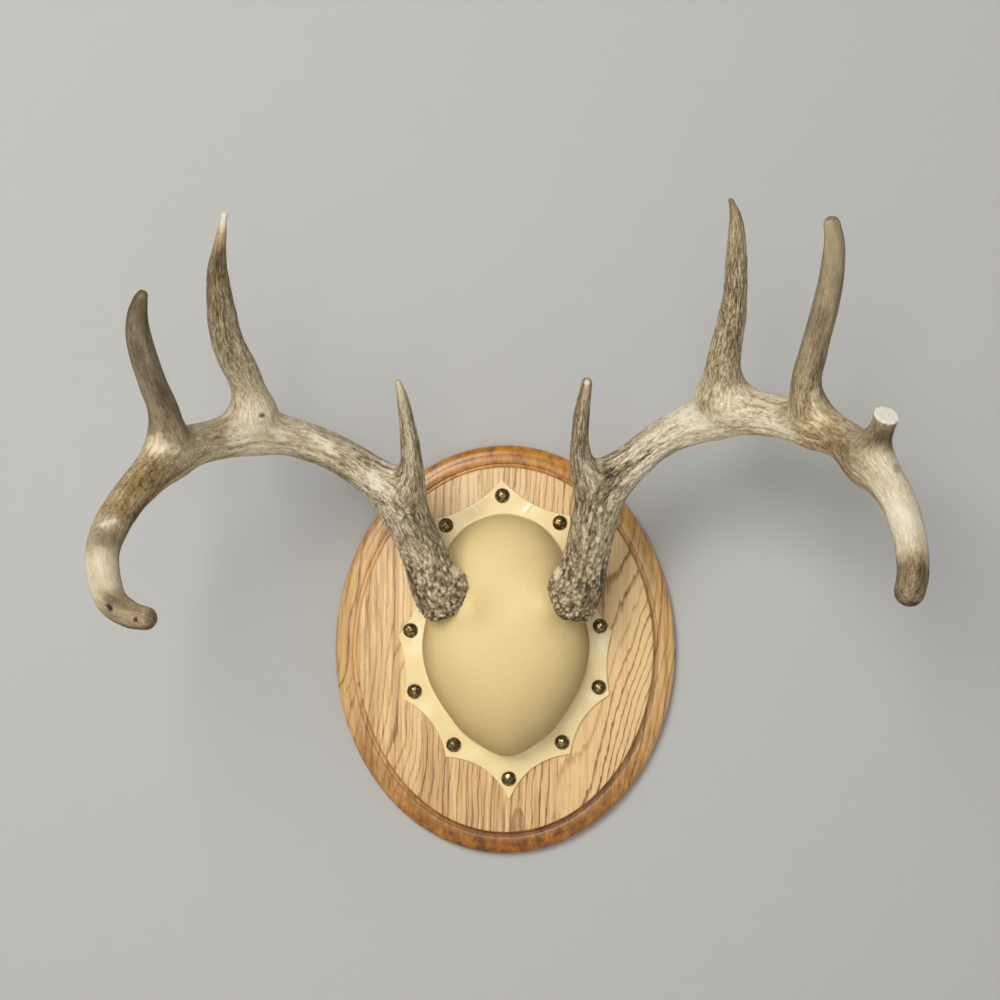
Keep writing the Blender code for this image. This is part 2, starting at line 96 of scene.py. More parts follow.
def apply_modifiers(made):
    """Turns an object's modifiers into plain mesh."""
    evaluated = made.evaluated_get(bpy.context.evaluated_depsgraph_get())
    mesh = bpy.data.meshes.new_from_object(evaluated)
    made.modifiers.clear()
    old = made.data
    made.data = mesh
    bpy.data.meshes.remove(old)


def mesh_points(mesh):
    """A mesh's points as an array in millimetres."""
    flat = np.empty(len(mesh.vertices) * 3)
    mesh.vertices.foreach_get("co", flat)
    return flat.reshape(-1, 3) / MM


def set_points(mesh, points):
    mesh.vertices.foreach_set("co", (points * MM).ravel())
    mesh.update()


def point_normals(mesh):
    flat = np.empty(len(mesh.vertices) * 3)
    mesh.vertex_normals.foreach_get("vector", flat)
    return flat.reshape(-1, 3)


def store(mesh, name, values):
    """Keeps a number, or three, for every point, where a material can read it."""
    values = np.asarray(values, dtype=float)
    kind = "FLOAT" if values.ndim == 1 else "FLOAT_VECTOR"
    attribute = mesh.attributes.new(name, kind, "POINT")
    attribute.data.foreach_set("value" if values.ndim == 1 else "vector", values.ravel())


def smoothstep(low, high, value):
    t = np.clip((value - low) / (high - low), 0, 1)
    return t * t * (3 - 2 * t)


def in_oval(across, up, size, turn):
    """Places in a turned oval, in shares of its half width and half height."""
    cos, sin = math.cos(math.radians(turn)), math.sin(math.radians(turn))
    return (across * cos + up * sin) / size[0], (up * cos - across * sin) / size[1]


def ring_faces(rows, count):
    """Faces of a closed solid made of rings of equal length, capped at both ends."""
    faces = [(row + i, row + (i + 1) % count, row + count + (i + 1) % count, row + count + i)
             for row in range(0, (rows - 1) * count, count) for i in range(count)]
    last = (rows - 1) * count
    return faces + [tuple(range(count))[::-1], tuple(range(last, last + count))]


print("helpers are ready, and MM is", MM)


# %% [markdown]
# ## Routes of the antlers
#
# An antler is one growth: a main beam with tines. Each branch follows a smooth curve through a
# few stations, which say how far across, how far out from the wall and how high it is, and how
# thick. They follow the CAD part's stations, so the fine skin lies on its solids.

# %% Stations: (across, out, up, radius)
ROUTES = {
    "left": {
        "beam": [
            (-35, 63, 39, 13.5), (-45, 68, 46, 15), (-51, 72, 52, 17.5), (-57, 81, 70, 16),
            (-65, 90, 91, 15), (-77, 99, 113, 14), (-97, 106, 131, 13), (-124, 115, 147, 12.5),
            (-158, 130, 157, 13), (-191, 150, 153, 13), (-217, 187, 142, 13.5),
            (-238, 238, 113, 11.5), (-246, 278, 84, 10.5), (-238, 306, 56, 9.5),
            (-223, 323, 45, 8), (-206, 335, 42, 6),
        ],
        "brow": [(-74, 97, 107, 8), (-66, 111, 124, 7.6), (-65, 126, 142, 6.3),
                 (-69, 149, 176, 4.3), (-73, 160, 192, 1.8)],
        "second": [(-167, 138, 158, 11.5), (-174, 162, 191, 11), (-182, 187, 213, 10.8),
                   (-184, 212, 237, 8.8), (-183, 232, 260, 6), (-176, 250, 291, 1.3)],
        "third": [(-219, 193, 141, 11), (-220, 214, 168, 9.6), (-224, 237, 187, 8.8),
                  (-227, 262, 209, 8.2), (-226, 276, 222, 6.6), (-222.5, 286, 232, 4.8),
                  (-219.5, 291, 237.4, 2.9)],
    },
    "right": {
        "beam": [
            (37, 63, 38, 13.5), (47, 68, 45, 15), (52, 72, 52, 17.5), (57, 81, 71, 16),
            (61, 90, 91, 15.7), (69, 101, 118, 14.5), (92, 108, 142, 12.5),
            (113, 115, 157, 13), (146, 134, 170, 14), (176, 165, 168, 13.6),
            (199, 192, 160, 12.5), (217, 228, 147.5, 12.4), (236, 266, 120, 11.5),
            (242, 292, 94, 10.2), (241, 313, 70, 9.3), (234, 330, 52, 8.8),
        ],
        "brow": [(65, 100, 112, 8), (56, 111, 127, 8), (51, 123, 143, 6.8),
                 (51, 143, 168, 5.4), (54.5, 160, 193, 3.2)],
        "second": [(146, 135, 168, 12), (145, 153, 191, 12.4), (145, 173, 208, 10.4),
                   (147, 207, 238, 8.2), (146, 230, 264, 6.4), (144, 244, 287, 4.2),
                   (140, 250, 300, 1.5)],
        "third": [(199, 193, 159, 10), (193, 211, 185, 9.4), (194, 234, 205, 8.7),
                  (198, 267, 238, 8), (199, 284, 264, 6.6), (196, 291, 283, 4.8)],
        "fourth": [(223, 245, 132, 9), (227, 255, 145, 8), (231, 265, 155, 6.9),
                   (233, 274, 164, 7.9)],
    },
}
print("branches:", {side: list(branches) for side, branches in ROUTES.items()})

# %% [markdown]
# ## The form of an antler
#
# A tine leaves its beam in a wide smooth flare, which joined tubes do not have. So the form is
# worked out as distances. Each branch gives every point in space its distance from the branch's
# skin, and a smooth minimum of those distances rounds the forks. A rough union of tubes gives
# the mesh to start from, and its points then slide onto the smooth form.

# %% Branches as measured curves
ROUTE_STEP = 2.0
FORK_BLEND = 8.5
ROOT_START = 12.0               # where a tine comes out of the beam, along the tine
ROOT_SHARE = 0.6
ROOT_FLARE = {"second": 3.6, "third": 1.6, "brow": 1.5, "fourth": 0.0}      # how much wider
FLARE_PLACE = (17.0, 11.0)      # how far along the tine, and over what length
THINNEST_ROOT = 2.0
SPAN_STEPS = 24                 # samples between two stations, before they are evened out
POINTS_AT_ONCE = 20000          # keeps the memory for distances small


def smooth_span(before, start, end, after, steps):
    """A smooth curve from start to end that also heeds the stations before and after."""
    t = np.linspace(0, 1, steps, endpoint=False)[:, None]
    return 0.5 * (2 * start + (end - before) * t
                  + (2 * before - 5 * start + 4 * end - after) * t ** 2
                  + (3 * start - before - 3 * end + after) * t ** 3)


def make_branch(name, stations):
    """Even samples along a branch: places, directions, radii and a frame that doesn't twist.

    A tine flares where it leaves the beam, and is thinned inside it, where the smooth minimum
    would otherwise swell the beam's far side.
    """
    points = np.array([(x, -out, up, radius) for x, out, up, radius in stations], dtype=float)
    points = np.vstack([2 * points[0] - points[1], points, 2 * points[-1] - points[-2]])
    spans = [smooth_span(*corners, SPAN_STEPS)
             for corners in zip(points, points[1:], points[2:], points[3:])]
    fine = np.vstack(spans + [points[-2:-1]])
    along = np.append(0, np.cumsum(np.linalg.norm(np.diff(fine[:, :3], axis=0), axis=1)))
    length = along[-1] - (0 if name == "fourth" else fine[-1, 3])
    stops = np.linspace(0, length, round(length / ROUTE_STEP) + 1)
    route = np.column_stack([np.interp(stops, along, fine[:, column]) for column in range(4)])
    if name != "beam":
        added = FORK_BLEND * np.log1p(np.exp((ROOT_START - stops) / FORK_BLEND))
        at, reach = FLARE_PLACE
        flared = route[:, 3] + ROOT_FLARE[name] * np.exp(-((stops - at) / reach) ** 2)
        route[:, 3] = np.maximum(flared - ROOT_SHARE * added, THINNEST_ROOT)
    places = route[:, :3]
    directions = np.gradient(places, axis=0)
    directions /= np.linalg.norm(directions, axis=1)[:, None]
    sides = np.empty_like(places)
    side = np.cross(directions[0], (0, 0, 1))
    for index, direction in enumerate(directions):
        side = side - direction * side.dot(direction)
        side /= np.linalg.norm(side)
        sides[index] = side
    return {"places": places, "directions": directions, "radii": route[:, 3], "along": stops,
            "sides": sides, "others": np.cross(directions, sides), "length": stops[-1]}


def nearest_on(branch, points):
    """For every point: its distance from the branch's skin, how far along it is, its way out."""
    places, last = branch["places"], len(branch["places"]) - 1
    squares = (places ** 2).sum(1)
    index = np.empty(len(points), dtype=int)
    for low in range(0, len(points), POINTS_AT_ONCE):
        part = slice(low, low + POINTS_AT_ONCE)
        index[part] = np.argmin(squares - 2 * points[part] @ places.T, axis=1)
    away = points - places[index]
    direction = branch["directions"][index]
    ahead = (away * direction).sum(1)
    ahead = np.where(index == 0, np.maximum(ahead, 0), ahead)
    ahead = np.where(index == last, np.minimum(ahead, 0), ahead)
    along = branch["along"][index] + ahead
    outwards = away - direction * ahead[:, None]
    distance = np.linalg.norm(outwards, axis=1)
    gap = distance - np.interp(along, branch["along"], branch["radii"])
    return {"gap": gap, "along": along, "out": outwards / np.maximum(distance, 1e-6)[:, None],
            "index": index}


BRANCHES = {side: {name: make_branch(name, stations) for name, stations in routes.items()}
            for side, routes in ROUTES.items()}
for side, branches in BRANCHES.items():
    print(side, {name: round(branch["length"]) for name, branch in branches.items()})

# %% [markdown]
# The burr is the knobbly rim at an antler's foot. It is a thick round-edged disc here, square to
# the pedicle that it grew on, and the beam flares out into it. The broken tine ends in a cut
# face, so the form is also cut by a plane there, and by another inside the skull cover.

# %% The smooth form
BURRS = {                       # middle of the disc, and the way its face looks
    "left": ((-44.8, -70.0, 43.6), (-0.68, -0.50, 0.54)),
    "right": ((48.0, -70.0, 43.0), (0.68, -0.50, 0.54)),
}
BURR_CORE = 14.2                # radius of the disc inside its round edge
BURR_EDGE = 4.6                 # radius of that edge
BURR_BLEND = 5.0
CUT_REACH = 45.0                # a cut plane ends the form only this near to its point


def burr_place(side):
    place, axis = (np.array(part) for part in BURRS[side])
    return place, axis / np.linalg.norm(axis)


def burr_gap(side, points):
    """Distance from the burr's disc."""
    place, axis = burr_place(side)
    away = points - place
    height = away @ axis
    reach = np.linalg.norm(away - height[:, None] * axis, axis=1)
    return np.hypot(np.maximum(reach - BURR_CORE, 0), height) - BURR_EDGE


def cut_planes(side):
    """Planes that end the form: (a point on it, the way that is cut off)."""
    beam = BRANCHES[side]["beam"]
    planes = [(beam["places"][0], -beam["directions"][0])]
    if "fourth" in BRANCHES[side]:
        stub = BRANCHES[side]["fourth"]
        planes.append((stub["places"][-1], stub["directions"][-1]))
    return planes


def smooth_minimum(gaps, blend):
    """The least of some distances, rounded where two of them meet."""
    total = sum(np.exp(-np.clip(gap, -40, 60) / blend) for gap in gaps)
    return -blend * np.log(total)


def form_gap(side, points):
    """Distance of every point from the antler's smooth skin."""
    found = [nearest_on(branch, points)["gap"] for branch in BRANCHES[side].values()]
    gap = smooth_minimum(found, FORK_BLEND)
    gap = smooth_minimum([gap, burr_gap(side, points)], BURR_BLEND)
    for place, away in cut_planes(side):
        near = np.linalg.norm(points - place, axis=1) < CUT_REACH
        gap = np.where(near, np.maximum(gap, (points - place) @ away), gap)
    return gap


print("burrs at:", {side: burr_place(side)[0].tolist() for side in BURRS})

# %% [markdown]
# The mesh to slide is made of closed tubes, one for each branch, that a Remesh modifier joins
# into one skin of even quads. A Boolean union would leave long thin triangles at the forks,
# which could not take the fine grooves.

# %% Rough tubes to start from
BURR_BULGE = (7.0, 12.0, 9.0)   # height, how far along the beam, over what length
LONGEST_SLIDE = 4.0             # in one round


def tube_rings(places, sides, others, radii, around=24):
    """Points and faces of a closed tube."""
    turn = np.linspace(0, math.tau, around, endpoint=False)
    ring = (np.cos(turn)[None, :, None] * sides[:, None, :]
            + np.sin(turn)[None, :, None] * others[:, None, :])
    points = (places[:, None, :] + ring * radii[:, None, None]).reshape(-1, 3)
    return points, ring_faces(len(places), around)


def rough_antler(side):
    """Tubes for all branches, with a bulge at the foot where the burr will be."""
    points, faces = [], []
    count = 0
    for name, branch in BRANCHES[side].items():
        bulge = 0.0
        if name == "beam":
            height, middle, reach = BURR_BULGE
            bulge = height * np.exp(-((branch["along"] - middle) / reach) ** 2)
        new_points, new_faces = tube_rings(branch["places"], branch["sides"],
                                           branch["others"], branch["radii"] + bulge)
        points.append(new_points)
        faces += [tuple(i + count for i in face) for face in new_faces]
        count += len(new_points)
    made = mesh_object(f"{side}_antler", np.vstack(points), faces)
    fix_normals(made)
    return made


def remesh(made, voxel):
    modifier = made.modifiers.new("skin", "REMESH")
    modifier.mode = "VOXEL"
    modifier.voxel_size = voxel * MM
    modifier.use_smooth_shade = True
    apply_modifiers(made)


def slide_onto_form(made, side, rounds):
    """Moves every point along its normal by its distance from the smooth skin."""
    for _ in range(rounds):
        points = mesh_points(made.data)
        gap = np.clip(form_gap(side, points), -LONGEST_SLIDE, LONGEST_SLIDE)
        set_points(made.data, points - point_normals(made.data) * gap[:, None])


# %% [markdown]
# The rough foot needs finer faces than the smooth tines. So the mesh is cut finer only there,
# which keeps the whole antler light.

# %% The antlers' smooth skins
FIRST_VOXEL = 1.44
VOXEL = 1.2
FINE_LENGTH = 92.0              # along the beam, from its foot
FINE_REACH = 12.0               # outwards from the beam, to take in the burr and the brow tine


def refine_foot(made, side):
    """Cuts the foot's faces into four."""
    bm = bmesh.new()
    bm.from_mesh(made.data)
    points = mesh_points(made.data)
    beam = nearest_on(BRANCHES[side]["beam"], points)
    low = (beam["gap"] < FINE_REACH) & (beam["along"] < FINE_LENGTH)
    bm.edges.ensure_lookup_table()
    edges = [edge for edge in bm.edges if all(low[vert.index] for vert in edge.verts)]
    bmesh.ops.subdivide_edges(bm, edges=edges, cuts=1, use_grid_fill=True)
    bmesh.ops.triangulate(bm, faces=[face for face in bm.faces if len(face.verts) > 4])
    bm.to_mesh(made.data)
    bm.free()


ANTLERS = {}
for side in ROUTES:
    antler = rough_antler(side)
    remesh(antler, FIRST_VOXEL)
    slide_onto_form(antler, side, 4)
    remesh(antler, VOXEL)
    slide_onto_form(antler, side, 2)
    refine_foot(antler, side)
    slide_onto_form(antler, side, 1)
    ANTLERS[side] = antler
    print(side, "antler:", len(antler.data.polygons), "faces,", round(time.time() - STARTED, 1), "s")

# %% [markdown]
# ## The surface of an antler
#
# Blood vessels run along a growing antler and leave grooves in it. Low down, the ridges between
# them break up into beads, called pearls. Wear polishes the tips smooth. Each point learns which
# branch it is on, how far along and which way round, and noise stretched along the branch then
# makes grooves that follow it. What was measured is stored, so the material can stain the
# hollows and bleach the crests.

# %% Where each point is on the antler
FLOW_RADIUS = 13.0              # of the round bar that every branch is unrolled on
SHARE_BLEND = 4.0
BRANCH_APART = 300              # keeps the branches' noise apart


def survey(side, points):
    """For every branch: each point's share in it, and the point unrolled along it."""
    found = {}
    for number, (name, branch) in enumerate(BRANCHES[side].items()):
        one = nearest_on(branch, points)
        across = (one["out"] * branch["sides"][one["index"]]).sum(1)
        other = (one["out"] * branch["others"][one["index"]]).sum(1)
        one["flow"] = np.column_stack([across * FLOW_RADIUS, other * FLOW_RADIUS,
                                       one["along"] + BRANCH_APART * number])
        one["share"] = np.exp(-np.clip(one["gap"], -40, 60) / SHARE_BLEND)
        found[name] = one
    total = sum(one["share"] for one in found.values())
    for one in found.values():
        one["share"] /= total
    return found


def noise_at(points, scale):
    return np.array([noise.noise(point) for point in (points / scale).tolist()])


def beads_at(points, scale):
    """Rounded beads, 0 to 1, of uneven height, at the middles of random cells."""
    heights = []
    for point in (points / scale).tolist():
        distances, centres = noise.voronoi(point)
        height = max(0.0, 1 - (distances[0] / 0.62) ** 2)
        heights.append(height * (0.35 + 0.65 * abs(noise.cell(centres[0]))))
    return np.array(heights)


def along_grooves(flow):
    """Ridges and grooves, about -1 to 1, that run along a branch."""
    wide = 1 - 2.6 * np.abs(noise_at(flow / [1, 1, 6.0], 4.2))
    narrow = 1 - 2.6 * np.abs(noise_at(flow / [1, 1, 3.2] + 40, 2.2))
    return 0.6 * wide + 0.4 * narrow - 0.3


foot = survey("left", np.array([[-51.0, -72.0, 52.0]]))
print("shares at the left foot:", {name: round(one["share"][0], 2) for name, one in foot.items()})

# %% [markdown]
# The tone of an antler changes along it: dark and rough at the foot, cream on the middle of the
# beam, and golden or grey where it rubbed on bark. Short tables give that for each branch.
# "dark" goes from bleached bone to deep brown, "warm" from grey to golden.

# %% Tone along each branch: (millimetres along, dark, warm, rough)
TONES = {
    "left": {
        "beam": [(0, .46, .5, 1), (45, .44, .45, 1), (85, .44, .35, 1), (112, .4, .35, .8),
                 (150, .36, .45, .55), (212, .14, .5, .35), (250, .28, .45, .35), (296, .36, .5, .4),
                 (322, .5, 1, .4), (366, .54, .95, .35), (380, .4, .5, .25), (394, .46, .25, .1),
                 (414, .2, .5, .1), (436, .26, .45, .1), (450, .62, .35, .1), (475, .62, .55, .2)],
        "brow": [(0, .46, .4, .8), (40, .38, .4, .8), (80, .3, .45, .7), (105, .2, .45, .3)],
        "second": [(0, .12, .5, .3), (45, .28, .5, .5), (80, .48, .4, .6), (130, .6, .45, .5),
                   (152, .62, .6, .4), (164, .42, .85, .3), (170, .15, .5, .1), (176, 0, .3, .05)],
        "third": [(0, .4, .45, .3), (35, .64, .3, .15), (90, .7, .25, .12),
                  (120, .76, .35, .12), (136, .84, .45, .12), (140, .4, .4, .1)],
    },
    "right": {
        "beam": [(0, .5, .5, 1), (45, .46, .5, 1), (85, .46, .35, 1), (120, .4, .3, .85),
                 (165, .18, .45, .6), (194, .08, .5, .5), (238, .14, .6, .6),
                 (274, .14, .65, .6), (302, .34, .85, .5), (340, .52, .5, .35),
                 (366, .2, .45, .25), (408, .08, .4, .15), (430, .26, .45, .25),
                 (444, .66, .55, .3), (460, .7, .5, .3)],
        "brow": [(0, .46, .4, .8), (40, .44, .35, .8), (80, .42, .45, .7), (104, .32, .45, .4)],
        "second": [(0, .2, .5, .4), (45, .34, .55, .65), (70, .46, .6, .8), (110, .46, .55, .8),
                   (150, .44, .5, .7), (176, .6, .6, .4)],
        "third": [(0, .34, .6, .4), (40, .54, .55, .4), (76, .6, .4, .2), (100, .62, .35, .1),
                  (140, .58, .35, .06), (158, .54, .4, .06), (164, .3, .4, .05)],
        "fourth": [(0, .44, .4, .3), (20, .54, .4, .3), (34, .62, .35, .2), (42, .5, .3, .2)],
    },
}


def tone_at(side, found, column):
    """One column of the tone tables at every point, mixed by its shares in the branches."""
    total = 0
    for name, table in TONES[side].items():
        stops = np.array(table)
        total = total + found[name]["share"] * np.interp(found[name]["along"], stops[:, 0],
                                                         stops[:, column])
    return total


print("tone stops:", {side: sum(len(table) for table in tables.values())
                      for side, tables in TONES.items()})

# %% [markdown]
# Some marks belong to one place: old chips and pits, a scar, and bare patches where the burr was
# rubbed. Each is a soft spot on the front of the antler that changes the tone and the height.

# %% Marks: side, (across, up), (half width, half height), turn in degrees, dark, height
MARKS = [
    ("left", (-35.5, 62), (5.6, 3.4), -58, -0.42, 0.4), ("right", (36, 60), (3.0, 6.4), 8, -0.4, 0.4),
    ("left", (-234, 48.5), (3.2, 1.3), -35, 0.6, -1.3), ("left", (-216, 42), (1.6, 1.3), 0, 0.6, -0.9),
    ("left", (-244, 97.5), (5.5, 2.2), 12, -0.3, 0.7), ("left", (-243, 88.5), (7.5, 6.5), 10, 0.16, 0),
    ("left", (-163.5, 168), (1.8, 1.8), 0, 0.55, -0.8), ("left", (-181, 260), (3.4, 11), -12, 0.2, -0.2),
    ("left", (-223, 147), (9, 8), 0, -0.28, 0), ("left", (-191, 151), (6, 4), 0, 0.12, 0),
    ("left", (-152, 156), (8, 4), -15, -0.2, 0.2), ("left", (-124, 150), (10, 3), -35, -0.2, 0.2),
    ("left", (-92, 124), (16, 5.5), -40, -0.2, 0.2), ("left", (-207, 43), (2.4, 4.6), 10, 0.15, -0.4),
    ("right", (93, 132), (15, 4.5), 38, -0.22, 0.2), ("right", (64, 137), (3, 3.6), 0, -0.28, 0.3),
    ("right", (71, 131), (5, 4), 20, 0.2, -0.5), ("right", (206, 153), (9, 11), 10, 0.08, -0.2),
    ("right", (231, 150.5), (6.5, 5), 0, 0.16, 0), ("right", (239, 131), (3, 3.5), 0, 0.22, 0.6),
    ("right", (198, 178), (3, 9), 0, -0.2, 0.4), ("right", (180, 173), (3.4, 6), 30, 0.1, -0.3),
]


def marks_at(side, points, normals):
    """Changes of tone and of height from the marks, on the front of the antler."""
    dark = np.zeros(len(points))
    height = np.zeros(len(points))
    front = smoothstep(0.15, -0.25, normals[:, 1])
    for on_side, (across, up), size, turn, more_dark, more_height in MARKS:
        if on_side != side:
            continue
        reach = np.hypot(*in_oval(points[:, 0] - across, points[:, 2] - up, size, turn))
        reach += 0.4 * noise_at(points, 3.4)
        spot = front * smoothstep(1.25, 0.55, reach)
        dark += more_dark * spot
        height += more_height * spot
    return dark, height


print("marks:", len(MARKS))

# %% [markdown]
# The foot of an antler is covered in pearls, and its burr in coarser ones. Bent cells give both:
# each cell becomes a round bead of its own height. Under the beam runs a slightly paler shelf,
# where a thick vessel lay. A long groove follows its front edge, and a fainter one runs beside it.

# %% The pearled foot and the shelf under the beam
GROOVE_DEPTH = 0.8
PEARL_HEIGHT = 1.25
LUMP_HEIGHT = 0.8
SHELF_DEPTH = 0.5               # of the shelf's lines
PEARLS_END = (36, 84)           # along the beam, where the pearls fade out
SHELF_START = (105, 140)        # along the beam, where the shelf fades in
SHELF_END = (385, 420)
SHELF_LINES = ((0.62, 0.085), (1.02, 0.06))     # radians from the bend's inside, and width
SECOND_LINE = 0.45              # the second line's share of that depth
ARC_CENTRE = {"left": (-165, -190, 60), "right": (160, -190, 65)}     # middle of each bend


def inner_angle(side, found):
    """How far round the beam a point is from the inside of its bend, in radians."""
    beam = BRANCHES[side]["beam"]
    index = found["beam"]["index"]
    inwards = np.array(ARC_CENTRE[side]) - beam["places"][index]
    direction = beam["directions"][index]
    inwards -= direction * (inwards * direction).sum(1)[:, None]
    inwards /= np.linalg.norm(inwards, axis=1)[:, None]
    front = np.cross(direction, inwards)
    front *= -np.sign(front[:, 1])[:, None]
    out = found["beam"]["out"]
    return np.arctan2((out * front).sum(1), (out * inwards).sum(1))


def pearled(side, points, found):
    """The pearled foot: how much each point belongs to it, its beads, and the burr alone."""
    beam, brow = found["beam"], found["brow"]
    low = beam["share"] * (1 - smoothstep(*PEARLS_END, beam["along"] + 16 * noise_at(points, 14)))
    low = np.maximum(low, 0.55 * brow["share"] * (1 - smoothstep(8, 40, brow["along"])))
    on_burr = smoothstep(7.5, 2.5, np.abs(burr_gap(side, points) + 1)) * (beam["along"] < 40)
    warp = 1.3 * np.column_stack([noise_at(points + shift, 4.5) for shift in (0, 50, 100)])
    drawn = beads_at((beam["flow"] + warp) / [1, 1, 1.7], 2.6)
    round_beads = np.maximum(beads_at(points + warp, 2.6), 1.2 * beads_at(points + warp + 9, 4.4))
    beads = drawn + (round_beads - drawn) * on_burr
    return low, beads, on_burr


def shelf_lines(side, found):
    """How far round each point is, the two lines along the shelf's front, and the shelf."""
    beam = found["beam"]
    angle = inner_angle(side, found)
    on_shelf = (beam["share"] * smoothstep(*SHELF_START, beam["along"])
                * (1 - smoothstep(*SHELF_END, beam["along"])))
    wander = 0.14 * noise_at(beam["flow"], 30) + 0.05 * noise_at(beam["flow"], 9)
    (at, width), (second_at, second_width) = SHELF_LINES
    contour = on_shelf * np.exp(-((angle - at - wander) / width) ** 2)
    second = on_shelf * SECOND_LINE * np.exp(-((angle - second_at + wander) / second_width) ** 2)
    return angle, contour, second, on_shelf * smoothstep(0.75, 0.5, np.abs(angle - wander))


def bend_and_painted_underside_shade(found, angle, normals):
    """How much darker the beam is inside its last bend, plus painted shade along its underside."""
    beam = found["beam"]
    inner = (beam["share"] * smoothstep(300, 345, beam["along"])
             * (1 - smoothstep(430, 452, beam["along"])) * smoothstep(1.2, 0.7, np.abs(angle)))
    # Painted shade: the beam's downward-facing side is darker.
    under = beam["share"] * smoothstep(-0.5, -0.95, normals[:, 2])
    return 0.2 * inner + 0.2 * under * (1 - inner)


print("groove, pearl and lump heights:", GROOVE_DEPTH, PEARL_HEIGHT, LUMP_HEIGHT)

# %% [markdown]
# Everything now comes together. The points move along their normals by the sum of the heights,
# which fade out at the cut planes so that a cut stays flat. The numbers that the material needs
# are stored on the points.

# %% Texture both antlers
def texture_antler(side, made):
    points = mesh_points(made.data)
    normals = point_normals(made.data)
    found = survey(side, points)
    dark, warm, rough = (tone_at(side, found, column) for column in (1, 2, 3))
    grooves = sum(one["share"] * along_grooves(one["flow"]) for one in found.values())
    low, beads, on_burr = pearled(side, points, found)
    lumps = noise_at(points, 28) + 0.5 * noise_at(points + 60, 12)
    height = (GROOVE_DEPTH * rough * grooves * (1 - 0.35 * low)
              + PEARL_HEIGHT * low * (0.7 + 0.9 * on_burr) * (beads - 0.45)
              + LUMP_HEIGHT * lumps * (0.35 + 0.65 * rough))

    angle, contour, second, shelf = shelf_lines(side, found)
    height -= SHELF_DEPTH * (contour + second)
    # The painted shade under the beam joins the tone here.
    dark += bend_and_painted_underside_shade(found, angle, normals)

    mark_dark, mark_height = marks_at(side, points, normals)
    height += mark_height
    bare = smoothstep(-0.2, -0.45, mark_dark)
    front_share_for_painted_light = np.clip(-normals[:, 1], 0, 1)      # the brow tines are painted paler in front and darker round their sides: painted light and shade
    up_brow = found["brow"]["share"] * smoothstep(26, 52, found["brow"]["along"])
    # Painted light and shade on the brow tines: paler on their front, darker round their sides.
    dark += mark_dark + up_brow * (0.16 - 0.46 * smoothstep(0.74, 0.97, front_share_for_painted_light))
    warm = warm + 0.4 * bare

    cut = np.zeros(len(points))
    for number, (place, away) in enumerate(cut_planes(side)):
        near = np.linalg.norm(points - place, axis=1) < 30
        from_plane = (points - place) @ away
        height *= np.where(near, smoothstep(0, 1.5, np.abs(from_plane)), 1)
        if number == 1:
            cut = near * smoothstep(-1.2, -0.2, from_plane)
    set_points(made.data, points + normals * (height * (1 - 0.8 * bare))[:, None])

    tines = [name for name in found if name != "beam"]
    tine_shares = np.array([found[name]["share"] for name in tines])
    tine_flows = np.array([found[name]["flow"] for name in tines])
    best = tine_shares.argmax(0)
    relief = rough * grooves * (1 - 0.6 * low) * 0.6 + low * 0.6 * (beads - 0.35)
    # dark also carries the painted shade under the beam and on the brow tines' sides.
    kept = {
        "flow": found["beam"]["flow"], "tine_flow": tine_flows[best, np.arange(len(points))],
        "tine": smoothstep(0.15, 0.85, tine_shares.max(0)), "dark": dark, "warm": warm,
        "relief": np.clip(relief * (1 - bare), -1, 1),
        "contour": np.clip(contour + 0.7 * second, 0, 1), "shelf": shelf, "cut": cut,
        "rough": rough * (1 - bare), "pearl": low * (1 - bare), "burr": on_burr,
    }
    for name, values in kept.items():
        store(made.data, name, values)


for side, antler in ANTLERS.items():
    texture_antler(side, antler)
    print(side, "surface done,", round(time.time() - STARTED, 1), "s")

# %% [markdown]
# ## The board
#
# The board's front edge is routed: a round-over outside, a low bead, and a narrow cove beside the
# flat where the panel sits. A lathe would give this on a round board. On an oval one the cutter
# follows the edge, so each step of the profile is the oval moved inwards.

# %% Oval slabs
OVAL_POINTS = 288
BOARD_SIZE = (254.0, 305.0)
PANEL_INSET = 17.5
PANEL_UP = 1.0
PANEL_BACK = 10.8
PANEL_FACE = 21.0
WALL_GAP = 0.3                  # between pieces that touch


def oval(half_width, half_height, up, inset):
    """An ellipse moved inwards by an even distance."""
    turn = np.linspace(0, math.tau, OVAL_POINTS, endpoint=False)
    across, high = half_width * np.cos(turn), half_height * np.sin(turn)
    normal = np.column_stack([np.cos(turn) / half_width, np.sin(turn) / half_height])
    normal /= np.linalg.norm(normal, axis=1)[:, None]
    return np.column_stack([across - normal[:, 0] * inset, high - normal[:, 1] * inset + up])


def ringed_solid(name, rings, smooth_angle=40):
    faces = ring_faces(len(rings), len(rings[0]))
    made = mesh_object(name, np.vstack(rings), faces, smooth_angle)
    fix_normals(made)
    return made


def arc(start, end, bulge, steps=8):
    """Points from start to end, bent outwards by a share of the distance between them."""
    start, end = np.array(start, dtype=float), np.array(end, dtype=float)
    chord = end - start
    side = np.array([-chord[1], chord[0]])
    t = np.linspace(0, 1, steps + 1)[:, None]
    return list(start + chord * t + side * bulge * 4 * t * (1 - t))


def oval_slab(name, profile, up=0.0):
    """The profile is (inwards, outwards from the wall), from the back edge to the face."""
    rings = []
    for inset, out in profile:
        flat = oval(BOARD_SIZE[0] / 2, BOARD_SIZE[1] / 2, up, inset)
        rings.append(np.column_stack([flat[:, 0], np.full(len(flat), -out), flat[:, 1]]))
    return ringed_solid(name, rings, 35)


